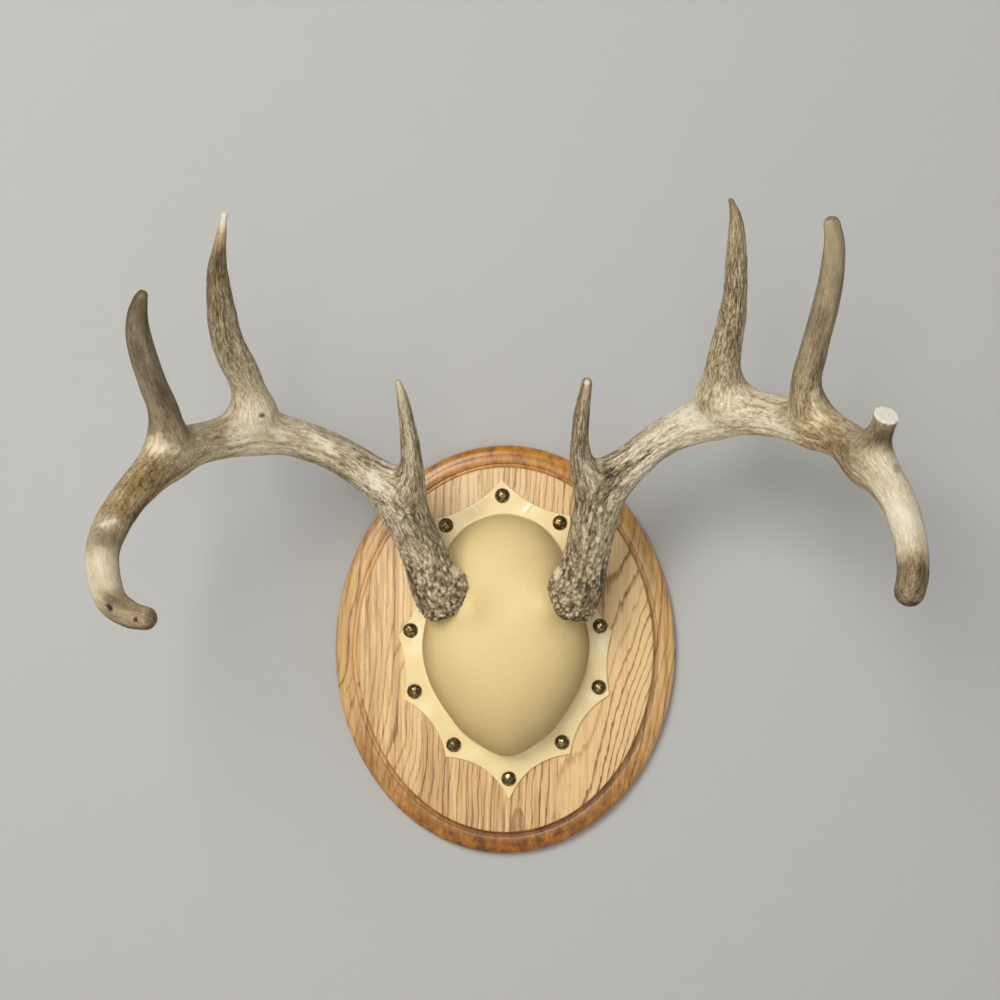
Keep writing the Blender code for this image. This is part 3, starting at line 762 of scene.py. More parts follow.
ROUND_OVER = arc((0, 4.2), (6.2, 9.6), 0.2, 10)
BEAD = arc((6.6, 9.7), (13.2, 10.3), 0.08, 12)
COVE = arc((13.5, 9.1), (16.6, 10.5), -0.2, 6)
board = oval_slab("oak_backboard", [(0.8, 0), (0, 0.8), *ROUND_OVER, *BEAD, *COVE])
panel = oval_slab("oak_face_panel",
                  [(PANEL_INSET, PANEL_BACK), (PANEL_INSET, PANEL_FACE - 1.1),
                   *arc((PANEL_INSET, PANEL_FACE - 1.1), (PANEL_INSET + 1.1, PANEL_FACE), 0.2, 5)],
                  PANEL_UP)
print("board and panel:", len(board.data.polygons), len(panel.data.polygons), "faces")

# %% [markdown]
# The hanger is let into the back, so that the board lies flat on the wall. Its recess, the
# pocket for the wall screw's head and the screw holes are cut with exact Booleans, with their
# places read from the CAD nodes.

# %% Cuts in the board's back
POCKET_SIZE = (14.0, 14.0, 9.0)     # across, up, deep
HOLE_GROW = 0.3
PAST_THE_BACK = 1.0             # a cutter that opens the back goes on behind it
MOUNTING_HEAD_DEPTH = 3.4
MOUNTING_HOLE = (2.3, 12.0)     # radius and depth
HANGER_HOLE_RADIUS = 1.4


def node_box(node):
    low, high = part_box(node)
    return np.array(low) / MM, np.array(high) / MM


def cut(made, cutter):
    """Takes one piece away from another."""
    modifier = made.modifiers.new("cut", "BOOLEAN")
    modifier.operation = "DIFFERENCE"
    modifier.object = cutter
    apply_modifiers(made)
    bpy.data.objects.remove(cutter)


def box_tool(low, high, name="box_tool"):
    bm = bmesh.new()
    bmesh.ops.create_cube(bm, size=1)
    middle, size = (low + high) / 2, high - low
    bmesh.ops.scale(bm, verts=bm.verts, vec=size * MM)
    bmesh.ops.translate(bm, verts=bm.verts, vec=middle * MM)
    mesh = bpy.data.meshes.new(name)
    bm.to_mesh(mesh)
    bm.free()
    return shaded_object(name, mesh)


def rod_tool(across, up, radius, deep, around=40):
    turn = np.linspace(0, math.tau, around, endpoint=False)
    ring = np.column_stack([across + radius * np.cos(turn), np.zeros(around),
                            up + radius * np.sin(turn)])
    rings = [ring + [0, PAST_THE_BACK, 0], ring - [0, deep, 0]]
    return ringed_solid("rod_tool", rings)


def ease_edges(made, width):
    modifier = made.modifiers.new("eased", "BEVEL")
    modifier.width = width * MM
    modifier.segments = 2
    apply_modifiers(made)


block_low, block_high = node_box("hanger_block")
block = box_tool(block_low, block_high, "oak_hanger_block")
ease_edges(block, 0.4)
window_low, window_high = block_low - WALL_GAP, block_high + WALL_GAP
window_high[1] = PAST_THE_BACK
cut(board, box_tool(window_low, window_high))

plate_low, plate_high = node_box("hanger_plate")
plate_middle = (plate_low + plate_high) / 2
recess_low, recess_high = plate_low - HOLE_GROW, plate_high + HOLE_GROW
recess_high[1] = PAST_THE_BACK
cut(block, box_tool(recess_low, recess_high))
half = np.array([POCKET_SIZE[0] / 2, 0, POCKET_SIZE[1] / 2])
pocket_low = plate_middle * [1, 0, 1] - half - [0, POCKET_SIZE[2], 0]
pocket_high = plate_middle * [1, 0, 1] + half + [0, PAST_THE_BACK, 0]
cut(block, box_tool(pocket_low, pocket_high))
SCREW_NODES = [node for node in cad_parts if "screw" in node]
for node in SCREW_NODES:
    low, high = node_box(node)
    middle = (low + high) / 2
    head_radius = (high[0] - low[0]) / 2 + HOLE_GROW
    if node.startswith("mounting"):
        cut(board, rod_tool(middle[0], middle[2], head_radius, MOUNTING_HEAD_DEPTH))
        cut(board, rod_tool(middle[0], middle[2], *MOUNTING_HOLE))
    else:
        cut(block, rod_tool(middle[0], middle[2], HANGER_HOLE_RADIUS, -low[1] + HOLE_GROW))
for piece in (board, block):
    piece.data.set_sharp_from_angle(angle=math.radians(35))
    print(piece.name, "with its cuts:", len(piece.data.polygons), "faces")

# %% [markdown]
# ## The skull cover
#
# The cover is a sheet of grained vinyl, moulded hot over a dome, with a flat scalloped skirt that
# is nailed down. It is lofted like the CAD shell: rings run from the dome's top to its foot and
# on to the scalloped edge. The fine one adds the soft fillet at the foot, the rounded cut edge,
# and the little waves that a nailed sheet keeps between its nails.

# %% Outline of the cover
COVER_CENTRE = np.array([0.0, 8.0])
COVER_TURN = math.radians(1.3)
COVER_THICKNESS = 1.8
SKIRT_FACE = PANEL_FACE + WALL_GAP + COVER_THICKNESS
SKIRT_TIPS = [(0, 127, 5), (50, 99, 8), (79, 13, 3), (76, -34, 6.5), (46, -77, 8.5), (0, -110, 0)]
DOME_FOOT = [(0, 101), (16, 98), (30, 90), (42, 74), (51, 48), (59, 20), (61, 0), (56, -22),
             (44, -44), (28, -63), (0, -77)]
NAIL_PLACES = [(0, 115), (42, 94), (70, 17), (68, -28), (40, -68), (0, -94)]
DOME_HEIGHT = 54.0
SHOULDER = (31.0, 37.0, 11.0, 16.0)     # across, up, rise, spread
COVER_TURNS = 600


def mirrored(half):
    return list(half) + [(-across, *rest) for across, *rest in reversed(half[1:-1])]


def turned_with_cover(flat, turn=COVER_TURN):
    cos, sin = math.cos(turn), math.sin(turn)
    away = np.asarray(flat, dtype=float) - COVER_CENTRE
    return COVER_CENTRE + np.column_stack([away[:, 0] * cos - away[:, 1] * sin,
                                           away[:, 0] * sin + away[:, 1] * cos])


def by_angle(points, angles):
    """Distance from the cover's centre to a closed outline in each direction."""
    away = points - COVER_CENTRE
    found = np.arctan2(away[:, 1], away[:, 0])
    order = np.argsort(found)
    return np.interp(angles, found[order], np.hypot(*away.T)[order], period=math.tau)


def skirt_outline():
    """The scalloped edge: between every two tips it curves inwards."""
    tips = mirrored(SKIRT_TIPS)
    depths = [tip[2] for tip in SKIRT_TIPS[:-1]]
    depths += depths[::-1]
    points = []
    for index, tip in enumerate(tips):
        start = np.array(tip[:2], dtype=float)
        chord = np.array(tips[(index + 1) % len(tips)][:2]) - start
        inwards = np.array([chord[1], -chord[0]]) / np.linalg.norm(chord)
        t = np.linspace(0, 1, 60, endpoint=False)[:, None]
        points.append(start + chord * t + inwards * depths[index] * 4 * t * (1 - t))
    return np.vstack(points)


def foot_outline():
    foot = np.array(mirrored(DOME_FOOT), dtype=float)
    around = [np.roll(foot, shift, axis=0) for shift in (1, 0, -1, -2)]
    return np.vstack([smooth_span(*corners, SPAN_STEPS) for corners in zip(*around)])


def dome_rise(across, up, fraction):
    """Height of the dome, with a shoulder over each pedicle."""
    steep = 1 - fraction ** 3
    from_shoulder = np.hypot(np.abs(across) - SHOULDER[0], up - SHOULDER[1]) / SHOULDER[3]
    return (DOME_HEIGHT * np.sqrt(steep)
            + SHOULDER[2] * np.minimum(1, 2 * steep) * np.exp(-from_shoulder ** 2))


print("tips, foot stations and nails:", len(mirrored(SKIRT_TIPS)), len(mirrored(DOME_FOOT)),
      len(mirrored(NAIL_PLACES)))

# %% [markdown]
# The skirt is not quite flat. It rises a little between its nails, and two short folds show where it
# was pulled over the dome's top. The folds are painted pale, partly as whitened vinyl and partly as
# painted highlight, and pale patches beside the side nails are painted highlights. The folds and
# the patches are soft spots given by a place, a size and a turn.

# %% Folds, painted highlight patches and waves of the skirt: (across, up), (half width, half height), turn
CREASES = [((-19.5, 105.5), (4.2, 1.0), -48), ((18.5, 105), (4.2, 1.0), 46)]
PAINTED_HIGHLIGHT_PATCHES = [((-66, 14), (3.6, 9), 0), ((71.5, 8), (3.2, 9.5), 0), ((64, -33), (5, 3), 0),
                ((-62, 31), (4, 3.4), 0)]
CREASE_HEIGHT = 0.6
PAINTED_HIGHLIGHT_SHARE = 0.7


def soft_spots(across, up, spots):
    """Soft turned ovals, each 1 in its middle."""
    total_height = 0.0
    for (x, z), size, turn in spots:
        wide, high = in_oval(across - x, up - z, size, turn)
        total_height = total_height + np.exp(-wide ** 2 - high ** 2)
    return total_height


def painted_highlights_at(points):
    """Painted highlights: pale patches on the skirt beside its side nails."""
    flat_part = smoothstep(SKIRT_FACE + 1.5, SKIRT_FACE + 0.8, -points[:, 1])
    return PAINTED_HIGHLIGHT_SHARE * soft_spots(points[:, 0], points[:, 2], PAINTED_HIGHLIGHT_PATCHES) * flat_part


def skirt_wave(flat):
    """Small rises of the skirt between its nails, nothing at the nails."""
    nails = np.array(mirrored(NAIL_PLACES), dtype=float)
    nearest = np.min(np.hypot(flat[:, None, 0] - nails[None, :, 0],
                              flat[:, None, 1] - nails[None, :, 1]), axis=1)
    free = smoothstep(5, 18, nearest)
    bumps = noise_at(np.column_stack([flat, np.zeros(len(flat))]), 17)
    return free * (0.22 + 0.85 * bumps) + CREASE_HEIGHT * soft_spots(*flat.T, CREASES)


print("folds and worn patches:", len(CREASES), len(PAINTED_HIGHLIGHT_PATCHES))

# %% [markdown]
# Every ring of the loft has a point in the same directions from the cover's centre, with one
# exactly on each tip, so the scallops stay crisp. The rings go on around the edge and back
# underneath, which makes the sheet a closed solid.

# %% Loft the cover
FILLET_WIDTH = 1.6
FILLET_RISE = 0.9
EDGE_ROUND = 0.7


def make_cover():
    """Rings from the dome's top down to its foot, out to the edge, and back underneath."""
    angles = np.linspace(-math.pi, math.pi, COVER_TURNS, endpoint=False)
    tip_angles = np.arctan2(*(np.array(mirrored(SKIRT_TIPS))[:, :2] - COVER_CENTRE).T[::-1])
    for tip in tip_angles:                  # a point of the mesh on every tip
        angles[np.argmin(np.abs(np.angle(np.exp(1j * (angles - tip)))))] = tip
    angles = np.sort(angles)
    foot = by_angle(foot_outline(), angles)
    edge = by_angle(skirt_outline(), angles)
    way = np.column_stack([np.cos(angles), np.sin(angles)])
    rings = []
    for fraction in np.sin(np.linspace(0.02, 0.99, 46) * math.pi / 2):
        flat = COVER_CENTRE + way * (foot * fraction)[:, None]
        out = SKIRT_FACE + dome_rise(flat[:, 0], flat[:, 1], np.full(len(flat), fraction))
        rings.append((flat, out))
    for step in np.linspace(0, 1, 8):       # the fillet at the dome's foot
        flat = COVER_CENTRE + way * (foot * 0.9995 + FILLET_WIDTH * (step - 0.12))[:, None]
        out = SKIRT_FACE + FILLET_RISE * (1 - step) ** 2.2 + skirt_wave(flat) * step * 0.5
        rings.append((flat, out))
    inner = foot + FILLET_WIDTH * 0.88
    for step in np.linspace(0, 1, 22)[1:]:
        flat = COVER_CENTRE + way * (inner + (edge - EDGE_ROUND - inner) * step)[:, None]
        rings.append((flat, SKIRT_FACE + skirt_wave(flat) * (0.5 + 0.5 * step)))
    wave = skirt_wave(COVER_CENTRE + way * edge[:, None])
    for turn in np.linspace(0, math.pi / 2, 5)[1:]:     # the rounded cut edge
        reach = edge - EDGE_ROUND * (1 - math.sin(turn))
        out = SKIRT_FACE + wave - EDGE_ROUND * (1 - math.cos(turn))
        rings.append((COVER_CENTRE + way * reach[:, None], out))
    under = SKIRT_FACE - COVER_THICKNESS
    rings.append((COVER_CENTRE + way * edge[:, None], under + 0.2 + wave))
    rings.append((COVER_CENTRE + way * (edge - 0.4)[:, None], under + wave))
    rings.append((COVER_CENTRE + way * (foot + 1)[:, None], under + np.zeros(len(foot))))
    for fraction in (0.97, 0.92, 0.8, 0.6, 0.4, 0.2):
        flat = COVER_CENTRE + way * (foot * fraction)[:, None]
        out = under + dome_rise(flat[:, 0], flat[:, 1], np.full(len(flat), fraction))
        rings.append((flat, np.maximum(out - 0.4, under)))
    placed = []
    for flat, out in rings:
        turned = turned_with_cover(flat)
        placed.append(np.column_stack([turned[:, 0], -out, turned[:, 1]]))
    return ringed_solid("grained_skull_cover", placed, 50)


cover = make_cover()
cover_points = mesh_points(cover.data)
cover_flat = turned_with_cover(cover_points[:, [0, 2]], -COVER_TURN)
# Stored: the pale folds, partly painted highlight, and the painted highlight patches.
store(cover.data, "pale_folds_and_painted_highlights", soft_spots(*cover_flat.T, CREASES) + painted_highlights_at(cover_points))
print("cover:", len(cover.data.polygons), "faces")

# %% [markdown]
# ## Decorative nails
#
# The ten nails have hammered, domed heads of darkened brass. They repeat, so Geometry Nodes make
# them: a domed head and a shank are instanced on ten points, realized, and then dented by a cell
# pattern, so that no two heads catch the light in the same way.

# %% A small kit for node trees
def add_node(tree, kind, values=None, **settings):
    """A node with its settings, and its inputs set to numbers or linked to sockets."""
    made = tree.nodes.new(kind)
    for name, value in settings.items():
        setattr(made, name, value)
    for name, value in (values or {}).items():
        socket = made.inputs[name]
        if isinstance(value, bpy.types.NodeSocket):
            tree.links.new(value, socket)
        else:
            socket.default_value = value
    return made


def maths(tree, operation, first, second=0.0):
    return add_node(tree, "ShaderNodeMath", {0: first, 1: second}, operation=operation).outputs[0]


def total(tree, *parts):
    """A sum of numbers and sockets."""
    return functools.reduce(lambda first, second: maths(tree, "ADD", first, second), parts)


def product(tree, *parts):
    return functools.reduce(lambda first, second: maths(tree, "MULTIPLY", first, second), parts)


print("the node kit is ready")

# %% [markdown]
# A nail's head is the upper half of a ball, flattened to the height of the head, and its shank is
# a slim cone. The tree's sizes are named inputs, so another nail needs no new tree.

# %% The nails' node tree
NAIL_OUT = SKIRT_FACE + 0.3
NAIL_SIZES = {"Head Radius": 5.5, "Head Rise": 3.4, "Shank Radius": 0.9, "Shank Length": 9.0,
              "Dent Size": 2.6, "Dent Depth": 0.5}


def nail_tree():
    """A domed head on a shank for every point, with dents in the head."""
    tree = bpy.data.node_groups.new("domed_nails", "GeometryNodeTree")
    face = tree.interface
    face.new_socket("Geometry", in_out="INPUT", socket_type="NodeSocketGeometry")
    for name, size in NAIL_SIZES.items():
        socket = face.new_socket(name, in_out="INPUT", socket_type="NodeSocketFloat")
        socket.default_value = size * MM
    face.new_socket("Finish", in_out="INPUT", socket_type="NodeSocketMaterial")
    face.new_socket("Geometry", in_out="OUTPUT", socket_type="NodeSocketGeometry")
    given = tree.nodes.new("NodeGroupInput").outputs

    ball = add_node(tree, "GeometryNodeMeshUVSphere",
                    {"Segments": 40, "Rings": 28, "Radius": 1.0}).outputs["Mesh"]
    place = add_node(tree, "GeometryNodeInputPosition").outputs[0]
    apart = add_node(tree, "ShaderNodeSeparateXYZ", {0: place}).outputs
    raised = maths(tree, "MAXIMUM", apart["Z"], -0.12)
    flat = add_node(tree, "ShaderNodeCombineXYZ",
                    {"X": apart["X"], "Y": apart["Y"], "Z": raised}).outputs[0]
    half = add_node(tree, "GeometryNodeSetPosition",
                    {"Geometry": ball, "Position": flat}).outputs["Geometry"]
    size = add_node(tree, "ShaderNodeCombineXYZ",
                    {"X": given["Head Radius"], "Y": given["Head Radius"],
                     "Z": given["Head Rise"]}).outputs[0]
    head = add_node(tree, "GeometryNodeTransform",
                    {"Geometry": half, "Scale": size}).outputs["Geometry"]
    shank = add_node(tree, "GeometryNodeMeshCone",
                     {"Vertices": 16, "Radius Top": given["Shank Radius"],
                      "Radius Bottom": 0.0, "Depth": given["Shank Length"]}).outputs["Mesh"]
    below = add_node(tree, "ShaderNodeCombineXYZ",
                     {"Z": product(tree, given["Shank Length"], -1.0)}).outputs[0]
    shank = add_node(tree, "GeometryNodeTransform",
                     {"Geometry": shank, "Translation": below}).outputs["Geometry"]
    both = add_node(tree, "GeometryNodeJoinGeometry")
    tree.links.new(shank, both.inputs[0])
    tree.links.new(head, both.inputs[0])
    placed = add_node(tree, "GeometryNodeInstanceOnPoints",
                      {"Points": given["Geometry"], "Instance": both.outputs[0],
                       "Rotation": (math.pi / 2, 0.0, 0.0)}).outputs["Instances"]
    solid = add_node(tree, "GeometryNodeRealizeInstances", {"Geometry": placed}).outputs[0]
    cells = add_node(tree, "ShaderNodeTexVoronoi",
                     {"Vector": place, "Scale": maths(tree, "DIVIDE", 1.0, given["Dent Size"])},
                     feature="F1", distance="EUCLIDEAN").outputs["Distance"]
    deep = product(tree, maths(tree, "SUBTRACT", cells, 0.5), given["Dent Depth"])
    normal = add_node(tree, "GeometryNodeInputNormal").outputs["Normal"]
    push = add_node(tree, "ShaderNodeVectorMath", {0: normal, "Scale": deep},
                    operation="SCALE").outputs[0]
    front = add_node(tree, "ShaderNodeSeparateXYZ", {0: place}).outputs["Y"]
    on_head = add_node(tree, "FunctionNodeCompare", {0: front, 1: -(NAIL_OUT + 0.3) * MM},
                       data_type="FLOAT", operation="LESS_THAN").outputs["Result"]
    dented = add_node(tree, "GeometryNodeSetPosition",
                      {"Geometry": solid, "Selection": on_head, "Offset": push}).outputs[0]
    smooth = add_node(tree, "GeometryNodeSetShadeSmooth", {"Geometry": dented}).outputs[0]
    finished = add_node(tree, "GeometryNodeSetMaterial",
                        {"Geometry": smooth, "Material": given["Finish"]}).outputs[0]
    add_node(tree, "NodeGroupOutput", {"Geometry": finished})
    return tree


print("nail sizes in mm:", NAIL_SIZES)

# %% [markdown]
# A node tree's modifier is only a recipe. Its result is turned into plain mesh here, and the
# modifier goes, because the nails are exported as mesh.

# %% Running a node tree
def mesh_from_tree(name, points, tree, values):
    """Runs a node tree on loose points and gives back a plain mesh object."""
    mesh = bpy.data.meshes.new(name)
    mesh.from_pydata((np.asarray(points) * MM).tolist(), [], [])
    made = bpy.data.objects.new(name, mesh)
    bpy.context.scene.collection.objects.link(made)
    modifier = made.modifiers.new("tree", "NODES")
    modifier.node_group = tree
    sockets = {item.name: item.identifier for item in tree.interface.items_tree
               if item.in_out == "INPUT"}
    for socket_name, value in values.items():
        modifier[sockets[socket_name]] = value
    apply_modifiers(made)
    return made


nail_points = turned_with_cover(mirrored(NAIL_PLACES))
nail_points = np.column_stack([nail_points[:, 0], np.full(len(nail_points), -NAIL_OUT),
                               nail_points[:, 1]])
print("nail places:", nail_points.round().astype(int).tolist())

# %% [markdown]
# ## Finishes
#
# Every finish is a node material that reads Object coordinates in metres, or the numbers stored
# on the antlers. A few helpers keep the node trees short.

# %% Helpers for materials
def colour(red, green, blue):
    """A colour given as on a screen, 0 to 255, made linear."""
    linear = [((c / 255 + 0.055) / 1.055) ** 2.4 if c > 10 else c / 255 / 12.92
              for c in (red, green, blue)]
    return (*linear, 1.0)


def new_finish(name, **shader_values):
    material = bpy.data.materials.new(name)
    material.use_nodes = True
    tree = material.node_tree
    shader = tree.nodes["Principled BSDF"]
    for key, value in shader_values.items():
        shader.inputs[key.replace("_", " ")].default_value = value
    return material, tree, shader


def object_place(tree, stretch=(1.0, 1.0, 1.0)):
    """Object coordinates in millimetres, stretched."""
    place = add_node(tree, "ShaderNodeTexCoord").outputs["Object"]
    return add_node(tree, "ShaderNodeMapping",
                    {"Vector": place, "Scale": tuple(share / MM for share in stretch)}).outputs[0]


def noise_of(tree, vector, scale, detail=3.0, roughness=0.55, distortion=0.0):
    return add_node(tree, "ShaderNodeTexNoise",
                    {"Vector": vector, "Scale": scale, "Detail": detail,
                     "Roughness": roughness, "Distortion": distortion}).outputs["Fac"]


def spread(tree, value, low, high, to_low=0.0, to_high=1.0):
    """A value in low..high spread over to_low..to_high, and held there outside."""
    return add_node(tree, "ShaderNodeMapRange",
                    {"Value": value, "From Min": low, "From Max": high,
                     "To Min": to_low, "To Max": to_high}, clamp=True).outputs["Result"]


def ramp(tree, value, stops):
    """A colour for every value, from (value, colour) stops."""
    made = add_node(tree, "ShaderNodeValToRGB", {"Fac": value})
    elements = made.color_ramp.elements
    for index, (place, shade) in enumerate(stops):
        element = elements[index] if index < len(elements) else elements.new(place)
        element.position = place
        element.color = shade
    return made.outputs["Color"]


def mixed(tree, share, first, second, blend="MIX"):
    return add_node(tree, "ShaderNodeMix", {0: share, 6: first, 7: second},
                    data_type="RGBA", blend_type=blend).outputs[2]


def blend_of(tree, share, first, second):
    """A number between two others."""
    return add_node(tree, "ShaderNodeMix", {0: share, 2: first, 3: second},
                    data_type="FLOAT").outputs[0]


def attribute(tree, name, output="Fac"):
    return add_node(tree, "ShaderNodeAttribute", attribute_name=name).outputs[output]


def bumped(tree, height, distance, strength=1.0, under=None):
    """A bump whose height of 1 stands for a distance in millimetres."""
    values = {"Height": height, "Distance": distance * MM, "Strength": strength}
    if under is not None:
        values["Normal"] = under
    return add_node(tree, "ShaderNodeBump", values).outputs["Normal"]


print("oak's pale colour, made linear:", [round(part, 3) for part in colour(235, 200, 142)])

# %% [markdown]
# Oak sawn flat from a log shows its growth rings cut at a slant. Where the saw ran along the
# side of the rings they are straight fine lines, and near the heart line they open into arches.
# The log is a slim cone, so one formula gives both: the distance from the log's centre, less a
# little for every millimetre up the board. Each ring starts with a band of open pores, which
# are short dark dashes, and fades into dense pale wood.

# %% Oak rings
FLAME_PLACE = (9.5, -115.5)     # across, and up to its tip
FLAME_SIZE = (5.8, 14.0)        # half width this far below the tip


def drawn_out(tree, place, share):
    """A place squeezed upwards, so that noise on it is drawn out along the grain."""
    return add_node(tree, "ShaderNodeMapping",
                    {"Vector": place, "Scale": (1.0, 1.0, share)}).outputs[0]


def centred_noise(tree, vector, scale, detail, height, roughness=0.55):
    """Noise between about minus and plus half a height."""
    flat = maths(tree, "SUBTRACT", noise_of(tree, vector, scale, detail, roughness), 0.5)
    return product(tree, flat, height)


def oak_rings(tree, place, heart, depth, climb, ring, jag):
    """Each place's ring number, height and place across.

    The rings climb only near the heart line and right of it.
    """
    apart = add_node(tree, "ShaderNodeSeparateXYZ", {0: place}).outputs
    across, up = apart["X"], apart["Z"]
    from_heart = maths(tree, "SUBTRACT", maths(tree, "SUBTRACT", across, heart),
                       product(tree, up, 0.1))
    squeezed = drawn_out(tree, place, 0.35)
    bent = total(tree, from_heart, centred_noise(tree, squeezed, 0.02, 2.0, 30.0))
    reach = maths(tree, "SQRT", total(tree, product(tree, bent, bent), depth * depth))
    slant = total(tree, spread(tree, from_heart, -28.0, 0.0, 0.0, climb),
                  spread(tree, from_heart, 0.0, 34.0, 0.0, 1.6 * climb))
    climbed = product(tree, maths(tree, "SUBTRACT", up, 70.0), slant)
    value = total(tree, maths(tree, "SUBTRACT", reach, climbed),
                  centred_noise(tree, squeezed, 0.05, 2.0, 2.0 * jag))
    value = product(tree, value, spread(tree, from_heart, -110.0, -15.0, 1.6, 1.0))
    value = total(tree, value, centred_noise(
        tree, drawn_out(tree, place, 0.05), 0.5, 3.0, jag, 0.75))
    return maths(tree, "DIVIDE", value, ring), up, across


def flame_mark(tree, up, across):
    """The tip of one more ring, which just reaches the bottom of the panel."""
    away = maths(tree, "DIVIDE", maths(tree, "SUBTRACT", across, FLAME_PLACE[0]), FLAME_SIZE[0])
    below = maths(tree, "DIVIDE", maths(tree, "SUBTRACT", FLAME_PLACE[1], up), FLAME_SIZE[1])
    inside = maths(tree, "SUBTRACT", below, product(tree, away, away))
    edge = spread(tree, inside, 0.0, 0.3, 0.3, 0.0)
    return product(tree, spread(tree, inside, -0.15, 0.15), total(tree, edge, 0.45))


def oak_band(tree, rings):
    """The band of open pores that starts each ring, darker in some rings than in others."""
    phase = maths(tree, "FRACT", rings)
    each = add_node(tree, "ShaderNodeTexWhiteNoise", {"W": maths(tree, "FLOOR", rings)},
                    noise_dimensions="1D").outputs["Value"]
    return product(tree, spread(tree, phase, 0.0, 0.07), spread(tree, phase, 0.14, 0.36, 1.0, 0.0),
                   spread(tree, each, 0.0, 1.0, 0.4, 1.0))


def oak_pores(tree, place, band):
    """Short dark dashes, most of them in the bands, and fewer in some patches."""
    dashes = add_node(tree, "ShaderNodeTexVoronoi",
                      {"Vector": drawn_out(tree, place, 0.11), "Scale": 1.35},
                      feature="F1").outputs["Distance"]
    broken = noise_of(tree, drawn_out(tree, place, 0.12), 0.5, 2.0)
    return product(tree, spread(tree, dashes, 0.16, 0.36, 1.0, 0.0),
                   spread(tree, band, 0.0, 0.6, 0.3, 1.0),
                   spread(tree, broken, 0.35, 0.6, 0.35, 1.0))


print("the panel's flame mark is", 2 * FLAME_SIZE[0], "mm wide", FLAME_SIZE[1], "mm below its tip")

# %% [markdown]
# One function finishes both woods. The panel is nearly bare oak. The board is stained, and its
# rim drinks most stain at the top and bottom, where the routed edge cuts across the grain. The
# board is also painted darker towards its bottom, which is painted shade.

# %% Oak finishes
def end_grain(tree, up):
    """How far the rim's edge cuts across the grain: nothing at the sides, 1 top and bottom."""
    high = maths(tree, "DIVIDE", up, BOARD_SIZE[1] / 2)
    return maths(tree, "POWER", maths(tree, "ABSOLUTE", high), 2.2)


def oak_finish(name, shades, heart, depth, climb, ring, jag, gloss, panel=False):
    """Shades are pale, middle, dark and pore."""
    pale, middle, dark, pore = shades
    material, tree, shader = new_finish(name, Roughness=gloss, Coat_Weight=0.15,
                                        Coat_Roughness=0.22)
    place = object_place(tree)
    rings, up, across = oak_rings(tree, place, heart, depth, climb, ring, jag)
    band, end = oak_band(tree, rings), end_grain(tree, up)
    if panel:
        band = maths(tree, "MAXIMUM", band, flame_mark(tree, up, across))
    else:
        band = product(tree, band, spread(tree, end, 0.1, 0.8, 1.0, 0.05))
    pores = oak_pores(tree, place, band)
    strands = noise_of(tree, drawn_out(tree, place, 0.035), 0.75, 4.0, 0.72)
    wide_strands = noise_of(tree, drawn_out(tree, place, 0.03), 0.16, 3.0, 0.6)
    streaks = total(tree, spread(tree, strands, 0.3, 0.7, -0.26, 0.36),
                    spread(tree, wide_strands, 0.35, 0.65, -0.16, 0.3))
    if panel:
        calm = spread(tree, across, 0.0, 70.0, 1.0, 0.6)
        left = spread(tree, across, -110.0, 60.0, 0.16, -0.06)
        low = spread(tree, up, -50.0, -130.0, 0.0, 0.12)
        band = product(tree, band, spread(tree, across, -10.0, 70.0, 0.8, 1.3),
                       spread(tree, up, -20.0, -90.0, 1.0, 1.3))
    else:
        calm = spread(tree, end, 0.1, 0.9, 0.9, 0.3)
        curl = noise_of(tree, drawn_out(tree, place, 0.7), 0.16, 3.0, 0.65)
        left = product(tree, end, spread(tree, curl, 0.32, 0.68, -0.25, 0.65))
        # Painted shade: the board is darker towards its bottom.
        low = spread(tree, up, -40.0, -150.0, 0.0, 0.42)
    tone = total(tree, product(tree, band, 0.62), product(tree, calm, streaks), left, low)
    wood = ramp(tree, tone, [(0.0, pale), (0.4, middle), (0.95, dark)])
    depth_of_pores = 0.62 if panel else spread(tree, end, 0.1, 0.9, 0.55, 0.2)
    wood = mixed(tree, product(tree, pores, depth_of_pores), wood, pore)
    if not panel:
        stained = mixed(tree, end, (1, 1, 1, 1), colour(221, 179, 46))
        wood = mixed(tree, 1.0, wood, stained, "MULTIPLY")
    tree.links.new(wood, shader.inputs["Base Color"])
    tree.links.new(spread(tree, band, 0, 1, gloss, gloss + 0.15), shader.inputs["Roughness"])
    hollow = total(tree, product(tree, pores, -1.0), product(tree, strands, 0.3))
    tree.links.new(bumped(tree, hollow, 0.12, 0.6), shader.inputs["Normal"])
    return material


LIGHT_OAK = (colour(235, 200, 142), colour(205, 162, 106), colour(134, 88, 52),
             colour(108, 70, 42))
DARK_OAK = (colour(222, 182, 122), colour(188, 142, 82), colour(122, 80, 34), colour(88, 54, 22))
PANEL_OAK = oak_finish("light_oak_finish", LIGHT_OAK, 76, 14, 0.19, 8.2, 5.0, 0.42, panel=True)
BOARD_OAK = oak_finish("dark_oak_finish", DARK_OAK, -210, 20, 0.02, 5.2, 3.0, 0.32)
print("nodes in the oak finishes:", len(PANEL_OAK.node_tree.nodes), len(BOARD_OAK.node_tree.nodes))
